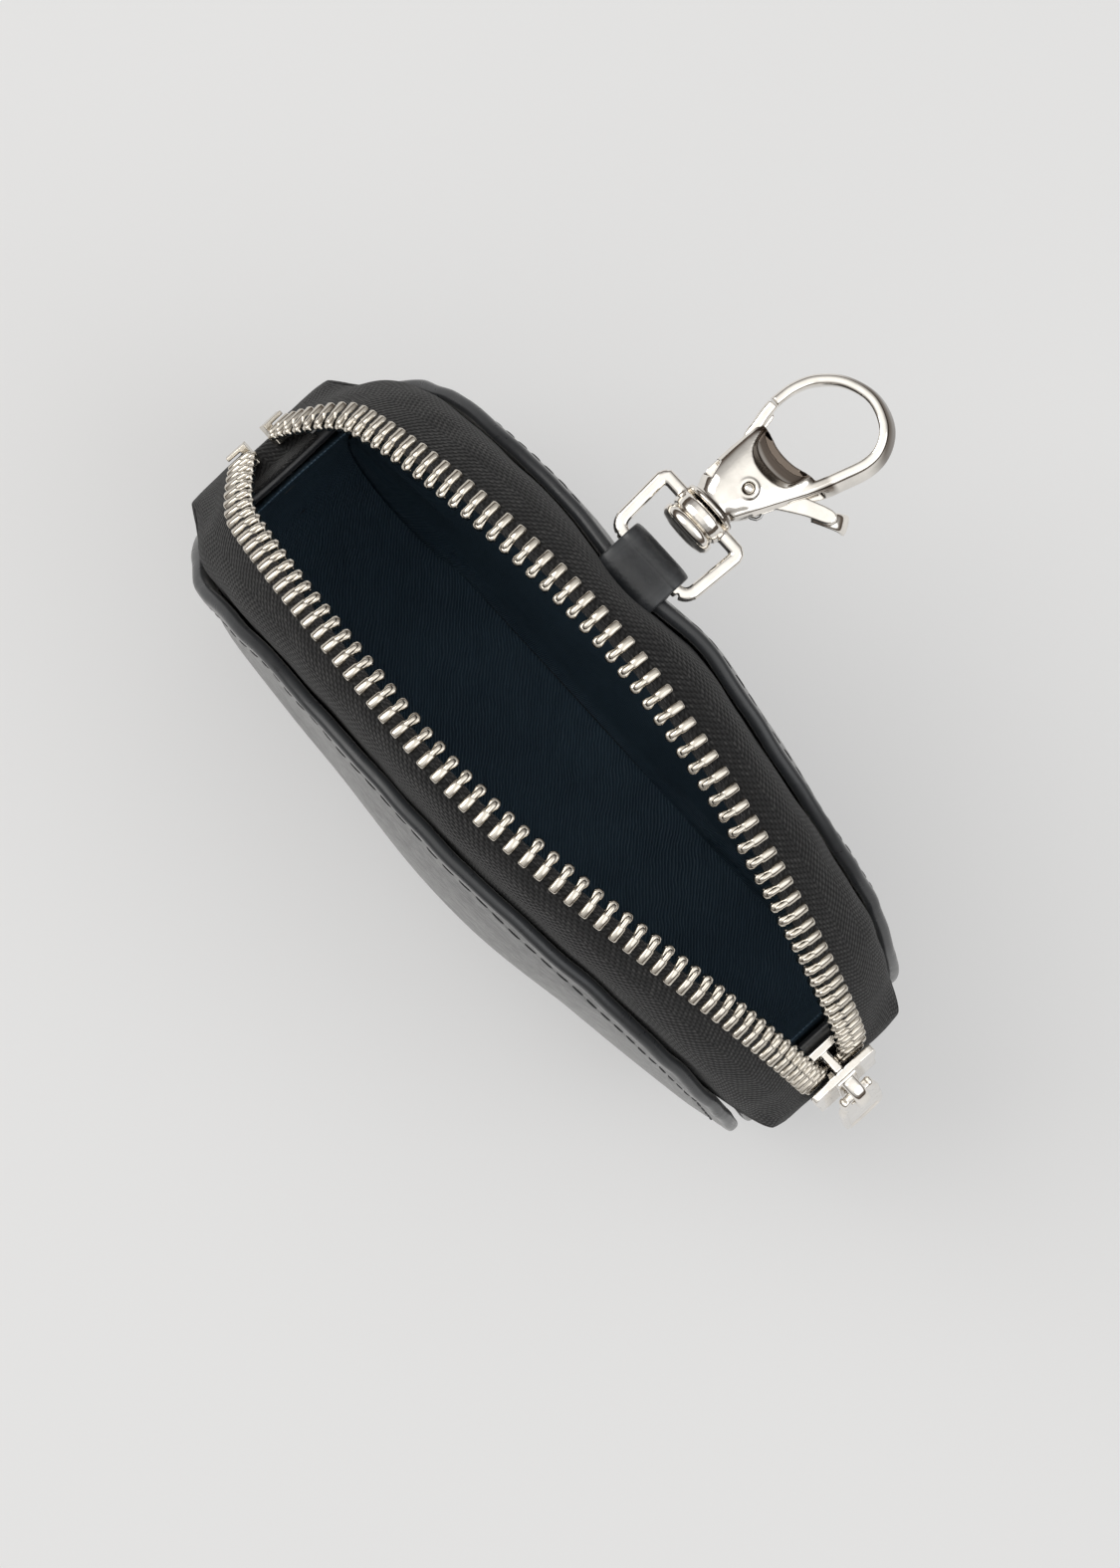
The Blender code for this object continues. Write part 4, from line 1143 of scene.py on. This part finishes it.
def bell(sections, sides=48):
    """The hook's body: sections (y, centre x, half width, half height, roundness) in mm."""
    turn = np.linspace(0.0, 2.0 * np.pi, sides, endpoint=False)
    points = []
    for y, x, half_width, half_height, power in sections:
        for p, q in zip(*superellipse(turn, power)):
            points.append(((x + half_width * p) * MM, y * MM, HOOK_Z + half_height * q * MM))
    return plain(points, capped_tube(len(sections), sides))


def snap_hook():
    """The cast body and ring, with the slot, scoop and bores cut in, then its pin and swivel rivet."""
    level = Matrix.Translation((0.0, 0.0, HOOK_Z))
    ring = curve_through(flat_points(RING_PATH), 120)
    t = np.linspace(0.0, 1.0, 120)
    thin = (0.86 + 0.2 * np.clip(0.2 - t, 0.0, 1.0) / 0.2 - 0.14 * t) * MM
    tall = (1.6 + 0.5 * smooth((0.35 - t) / 0.3)) * MM
    lean = 1.25 * MM * smooth((t - 0.12) / 0.2) * smooth((0.85 - t) / 0.3)
    hole = curve_through(HOLE_OUTLINE, 90, closed=True)

    def lowered(depth):
        """The hole's outline, drawn down toward the body by up to this depth: the scoop above the gate."""
        shares = [float(smooth((45.9 - y) / 2.6) * smooth((-2.0 - x) / 2.2)) for x, y in hole]
        return [(x, y - depth * share) for (x, y), share in zip(hole, shares)]

    parts = [bell(BODY_SECTIONS), sweep(ring, ALONG_Z, tall, thin, 0.62, draft=lean)]
    flange = [(0.0, 0.0), (3.2, 0.02), (3.55, 0.2), (3.6, 0.45)]
    flange += [(3.45, 0.72), (2.9, 0.85), (2.8, 1.3), (0.0, 1.4)]
    parts.append(lathe(flange, (HOOK_X, 31.75 * MM, HOOK_Z), ALONG_Y))
    washer = [(0.0, 0.0), (1.25, 0.0), (1.35, 0.25), (1.2, 0.5), (0.0, 0.5)]
    parts.append(lathe(washer, (PIN_X, PIN_Y, HOOK_Z + 2.25 * MM), ALONG_Z))
    notch = Matrix.Translation((-11.9 * MM, 35.4 * MM, HOOK_Z + 1.2 * MM)) @ Matrix.Rotation(0.3, 4, "Z")
    scoop = [lowered(depth) for depth in (-0.9, 0.0, 0.6, 2.3, 4.3)]
    cutters = [
        stack(scoop, (-3.4, 0.2, 0.9, 1.35, 3.4), level),
        block((30.0, 8.6, 1.8), Matrix.Translation((HOOK_X, 38.9 * MM, HOOK_Z))),
        lathe([(0.78, 0.0), (0.78, 9.0)], (PIN_X, PIN_Y, HOOK_Z - 4.5 * MM), ALONG_Z),
        lathe([(1.1, 0.0), (1.1, 5.1)], (HOOK_X, FAR_BAR_Y - 1.0 * MM, HOOK_Z), ALONG_Y),
        block((1.3, 2.2, 3.0), notch),
    ]
    obj = fused("hook_casting", parts, HOOK_METAL, 0.11, 7, cutters)
    stand_for(obj, "hook_body", "hook")
    pin = [(0.0, -2.6), (0.45, -2.58), (0.7, -2.4), (0.7, 2.35), (0.62, 2.6), (0.35, 2.78), (0.0, 2.82)]
    pin = lathe(pin, (PIN_X, PIN_Y, HOOK_Z), ALONG_Z)
    stand_for(joined("hook_pin", [pin], NICKEL), "trigger_pin", "hook")
    head = [(0.0, -1.9), (2.4, -1.85), (3.2, -1.65), (3.6, -1.25), (3.7, -0.7), (3.6, -0.3), (3.3, -0.12)]
    shank = [(1.1, -0.15), (0.95, 0.0), (0.95, 4.65), (0.0, 4.7)]
    rivet = lathe(head + shank, (HOOK_X, 29.35 * MM, HOOK_Z), ALONG_Y)
    stand_for(joined("hook_rivet", [rivet], NICKEL), "swivel_rivet", "hook")


def hook_gate():
    """The gate: a flat lever on the pin, the leaf that closes the ring, and a bent thumb pad."""
    lever = [(-12.2, 41.2), (-12.6, 43.2), (-12.6, 44.9), (-11.3, 45.1), (-10.7, 42.9), (-9.2, 40.7)]
    lever += [(-6.6, 39.6), (-2.4, 41.0), (1.4, 42.6), (2.6, 42.4), (2.4, 41.2), (-0.4, 39.6)]
    lever += [(-4.6, 36.6), (-6.2, 35.3), (-8.0, 35.4), (-9.0, 36.6), (-10.6, 38.8)]
    level = Matrix.Translation((0.0, 0.0, HOOK_Z))
    parts = [slab(curve_through(lever, 90, closed=True), 0.68, level)]
    leaf = curve_through(flat_points([(-11.5, 41.2), (-11.9, 43.0), (-12.25, 44.5), (-12.45, 45.95)]), 24)
    parts.append(sweep(leaf, ALONG_Z, np.linspace(0.8, 1.5, 24) * MM, 0.74 * MM, 0.6))
    pad = ((0.4, 40.5, -0.2), (2.0, 41.6, -0.5), (3.3, 42.5, -1.3), (3.9, 42.9, -2.6))
    pad = curve_through([(x * MM, y * MM, HOOK_Z + z * MM) for x, y, z in pad], 24)
    across = np.array([0.55, -0.83, 0.0])
    parts.append(sweep(pad, across, np.linspace(0.8, 1.3, 24) * MM, np.linspace(0.55, 0.42, 24) * MM, 0.75))
    cutters = [lathe([(0.72, 0.0), (0.72, 4.0)], (PIN_X, PIN_Y, HOOK_Z - 2.0 * MM), ALONG_Z)]
    obj = fused("hook_gate_lever", parts, NICKEL, 0.1, 5, cutters)
    stand_for(obj, "trigger", "gate")


def rounded_corners(points, radii, steps=8):
    """A closed outline's points with each corner rounded off; radii in mm."""
    result = []
    count = len(points)
    for i, corner in enumerate(points):
        here = Vector(corner)
        radius = radii[i] * MM
        before = (Vector(points[i - 1]) - here).normalized() * radius
        after = (Vector(points[(i + 1) % count]) - here).normalized() * radius
        for t in np.linspace(0.0, 1.0, steps + 1):
            result.append(here + before * (1 - t) ** 2 + after * t * t)
    return result


def hook_eye():
    """The trapezoid eye of squarish wire, with the swivel boss on its far bar."""
    near, far = 6.0 * MM, 6.45 * MM
    corners = [
        (HOOK_X - near, NEAR_BAR_Y, HOOK_Z),
        (HOOK_X - far, FAR_BAR_Y, HOOK_Z),
        (HOOK_X + far, FAR_BAR_Y, HOOK_Z),
        (HOOK_X + near, NEAR_BAR_Y, HOOK_Z),
    ]
    path = curve_through([tuple(p) for p in rounded_corners(corners, (1.7, 0.9, 0.9, 1.7))], 150, closed=True)
    parts = [sweep(path, ALONG_Z, 0.85 * MM, 0.88 * MM, 0.72, 20, closed=True)]
    boss = [(2.4, -1.75), (3.1, -1.7), (3.5, -1.4), (3.65, -0.7)]
    boss += [(3.6, 0.1), (3.3, 0.45), (2.6, 0.55), (1.8, 0.6)]
    parts.append(lathe(boss, (HOOK_X, FAR_BAR_Y, HOOK_Z), ALONG_Y))
    bore = [lathe([(1.12, 0.0), (1.12, 4.0)], (HOOK_X, FAR_BAR_Y - 2.0 * MM, HOOK_Z), ALONG_Y)]
    stand_for(fused("hook_eye_wire", parts, NICKEL, 0.1, 3, bore), "swivel_eye", "eye")


def loop_strap():
    """The leather loop: out from under the leather's edge, round the eye's near bar, and down the back."""
    edge = top_z(HOOK_X)
    wall = float(wall_y(HOOK_X, edge, 1.0))
    middle = (0.8 + 0.3 + 0.6) * MM
    turn = np.linspace(0.62 * np.pi, -0.42 * np.pi, 9)
    path = [(wall + y * MM, edge + z * MM) for y, z in ((-1.6, -0.5), (-0.9, 0.65), (0.6, 1.05))]
    path += [(NEAR_BAR_Y + middle * math.cos(a), HOOK_Z + middle * math.sin(a)) for a in turn]
    for depth in (3.0, 4.6, 6.4, 8.2):
        z = HOOK_Z - depth * MM
        path.append((float(wall_y(HOOK_X, z, 1.0)) + PANEL_T / 2.0 + 0.62 * MM, z))
    path = curve_through([(HOOK_X, y, z) for y, z in path], 110)
    t = np.linspace(0.0, 1.0, 110)
    half = 4.45 * MM - 0.35 * MM * smooth((t - 0.93) / 0.07)
    part = sweep(path, (1.0, 0.0, 0.0), half, 0.6 * MM, 0.42, 44)
    stand_for(joined("loop_strap_leather", [part], LEATHER), "loop_strap", "back_side")


def arc_place(deg, along=0.0, across=0.0, out=0.0):
    """Placement on the arch, in mm: x along the travel, y across the purse, z outward."""
    x, z = zip_point(deg, ZIP_R)
    turn = Matrix.Rotation(math.radians(deg), 4, "Y")
    shift = Matrix.Translation((along * MM, across * MM, out * MM))
    return Matrix.Translation((x, 0.0, z)) @ turn @ shift


def slider():
    """Two bowed plates joined by the wedge, turned-in flanges and the bridge the pull hangs from."""
    outline = [(-5.2, -4.0), (-4.6, -4.9), (-2.6, -5.05), (0.8, -4.65), (4.4, -4.6), (5.2, -3.9)]
    outline += [(x, -y) for x, y in reversed(outline)]
    outline = curve_through(outline, 80, closed=True)
    place = arc_place(SLIDER_DEG)
    parts = [slab(outline, 0.5, arc_place(SLIDER_DEG, out=height)) for height in (2.0, -2.0)]
    wedge = [(-5.1, -0.55), (-4.2, -0.8), (-2.2, -0.4), (-2.2, 0.4), (-4.2, 0.8), (-5.1, 0.55)]
    parts.append(slab(wedge, 1.8, place))
    for side in (-1.0, 1.0):
        for level in (-1.0, 1.0):
            parts.append(block((4.3, 0.75, 1.05), arc_place(SLIDER_DEG, 2.9, side * 4.15, level * 1.42)))
    arch = [(-3.5, 1.8), (-3.5, 3.9), (-2.7, 5.0), (-1.2, 5.45)]
    arch += [(-x, z) for x, z in reversed(arch)]
    path = curve_through([tuple(place @ Vector((x * MM, 0.0, z * MM))) for x, z in arch], 60)
    parts.append(sweep(path, ALONG_Y, 1.0 * MM, 0.7 * MM, 0.6))
    parts.append(block((9.2, 3.0, 0.6), arc_place(SLIDER_DEG, out=2.55)))
    obj = fused("slider_casting", parts, NICKEL, 0.1, 4)
    stand_for(obj, "slider_body", "slider")


def pull_tab():
    """The hanging tab: a thin plate with a raised border, turned on a round crossbar with knob ends."""
    along, out = 1.4, 4.0
    place = arc_place(SLIDER_DEG, along, 0.0, out)
    half_outline = [(0.1, 1.9), (3.4, 1.95), (5.6, 2.5), (8.0, 2.75), (17.2, 2.75), (18.7, 2.1), (19.0, 0.0)]
    outline = half_outline + [(x, -y) for x, y in reversed(half_outline[:-1])]
    outline = curve_through(outline, 120, closed=True)
    parts = [slab(outline, 0.42, place)]
    border = [tuple(place @ Vector((x * MM, y * MM, 0.0))) for x, y in outline]
    border = curve_through(border, 120, closed=True)
    normal = place.to_3x3() @ Vector((0.0, 0.0, 1.0))
    parts.append(sweep(border, tuple(normal), 0.62 * MM, 0.5 * MM, 0.75, 16, closed=True))
    rod = [(0.0, -2.6), (0.45, -2.55), (0.7, -2.3), (0.7, -1.9), (0.6, -1.7)]
    rod += [(radius, -y) for radius, y in reversed(rod)]
    parts.append(lathe(rod, place.translation, ALONG_Y))
    window = block((2.9, 2.5, 4.0), place @ Matrix.Translation((2.05 * MM, 0.0, 0.0)))
    obj = fused("pull_tab_plate", parts, NICKEL, 0.09, 4, [window])
    stand_for(obj, "pull_tab", "pull")


def cast(node, mat, voxel, rounds):
    """A CAD node kept as it is, with its edges rounded as a polished casting's are."""
    obj = frame["nodes"][node]
    obj.data.materials.clear()
    obj.data.materials.append(mat)
    skin(obj, voxel)
    soften(obj, rounds)


def zip_ends():
    """Fabric between the two tapes beyond the stops, where they are sewn together."""
    for label, degs, half_width in (("left", (-71.0, -84.0), 5.6), ("right", (82.0, 88.0), 4.2)):
        path = []
        for deg in np.linspace(*degs, 18):
            under_teeth = 2.5 * MM * float(smooth((deg + 80.5) / 4.0)) * (deg < 0.0)
            path.append(zip_point(deg, ZIP_R - (0.6 * MM + under_teeth)))
        end_x, end_z = path[-1]
        outer = math.copysign(1.0, end_x)
        path += [(end_x - outer * 0.5 * MM, end_z - 0.9 * MM), (end_x - outer * 1.4 * MM, end_z - 1.2 * MM)]
        path = np.array(path + [(outer * 51.15 * MM, end_z - 1.35 * MM)])
        obj = strip(label + "_zip_end", path, half_width * MM, 0.5 * MM, TAPE)
        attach(obj, "base")


def hardware():
    """All metal, the loop that holds the hook, and the fabric ends of the zip."""
    snap_hook()
    hook_gate()
    hook_eye()
    loop_strap()
    slider()
    pull_tab()
    zip_ends()
    for node in ("bottom_stop", "front_top_stop", "back_top_stop"):
        cast(node, TOOTH_METAL, 0.08, 4)
    cast("trigger_spring", STEEL, 0.05, 2)


# ------------------------------------------------------------ camera, light and floor


def studio():
    """Pale floor, the photo's camera (almost straight above) and two soft lamps."""
    corners = [(x, y, -0.0002) for x, y in ((-30.0, -30.0), (30.0, -30.0), (30.0, 30.0), (-30.0, 30.0))]
    piece("studio_floor", corners, [(0, 1, 2, 3)], floor_material())
    tilt = math.radians(3.0)
    back = Vector((0.0, -math.sin(tilt), math.cos(tilt)))
    right = Vector((0.6756, 0.7373, 0.0))
    right = (right - back * right.dot(back)).normalized()
    up = back.cross(right)
    crown = Vector((0.0, 0.0, ZIP_Z + ZIP_R))
    distance = 495.0 * MM
    aim = crown - right * 0.11 * MM - up * 4.99 * MM
    data = bpy.data.cameras.new("photo_camera")
    data.lens = 98.4
    data.sensor_width = 36.0
    data.clip_start = 0.01
    data.clip_end = 20.0
    camera = bpy.data.objects.new("photo_camera", data)
    bpy.context.scene.collection.objects.link(camera)
    turn = Matrix((right, up, back)).transposed().to_4x4()
    camera.matrix_world = Matrix.Translation(aim + back * distance) @ turn
    bpy.context.scene.camera = camera
    lamp("key_softbox", aim + (-right * 0.9 + up * 0.45 + back * 1.1), aim, 1.3, 9.0, (1.0, 0.985, 0.96))
    lamp("fill_softbox", aim + (right * 1.1 - up * 0.5 + back * 1.2), aim, 1.6, 6.5, (0.95, 0.975, 1.0))
    sky()
    scene = bpy.context.scene
    scene.view_settings.view_transform = "Standard"
    scene.view_settings.look = "None"


def lamp(name, place, aim, size, power, colour):
    """A round softbox."""
    data = bpy.data.lights.new(name, "AREA")
    data.shape = "DISK"
    data.size = size
    data.energy = power
    data.color = colour
    obj = bpy.data.objects.new(name, data)
    obj.location = place
    obj.rotation_euler = (aim - place).to_track_quat("-Z", "Y").to_euler()
    bpy.context.scene.collection.objects.link(obj)


def sky():
    """A studio room for the metal to mirror: pale above, with a dim warm band at the horizon."""
    world = bpy.data.worlds.new("studio")
    bpy.context.scene.world = world
    world.use_nodes = True
    tree = world.node_tree
    coords = tree.nodes.new("ShaderNodeTexCoord")
    parts = tree.nodes.new("ShaderNodeSeparateXYZ")
    ramp = tree.nodes.new("ShaderNodeValToRGB")
    tree.links.new(coords.outputs["Generated"], parts.inputs[0])
    tree.links.new(parts.outputs["Z"], ramp.inputs["Fac"])
    ends = ramp.color_ramp.elements
    ends[0].color = (0.10, 0.08, 0.065, 1.0)
    ends[-1].color = (1.7, 1.68, 1.64, 1.0)
    stops = [(0.25, (0.16, 0.13, 0.11)), (0.5, (0.55, 0.54, 0.53))]
    stops += [(0.76, (0.78, 0.77, 0.76)), (0.93, (1.45, 1.44, 1.41))]
    for place, colour in stops:
        ends.new(place).color = (*colour, 1.0)
    seen = tree.nodes.new("ShaderNodeMix")
    seen.data_type = "RGBA"
    path = tree.nodes.new("ShaderNodeLightPath")
    tree.links.new(path.outputs["Is Camera Ray"], seen.inputs[0])
    tree.links.new(ramp.outputs["Color"], seen.inputs[6])
    seen.inputs[7].default_value = grey(0.95)
    tree.links.new(seen.outputs[2], tree.nodes["Background"].inputs["Color"])
    tree.nodes["Background"].inputs["Strength"].default_value = 0.75


# ------------------------------------------------------------ the purse

for side_label, side_sign in (("front", -1.0), ("back", 1.0)):
    panel(side_label, side_sign)
    tape(side_label, side_sign)
    teeth(side_label, side_sign)
    lining(side_label, side_sign)
gussets()
base_lining()
hardware()
studio()
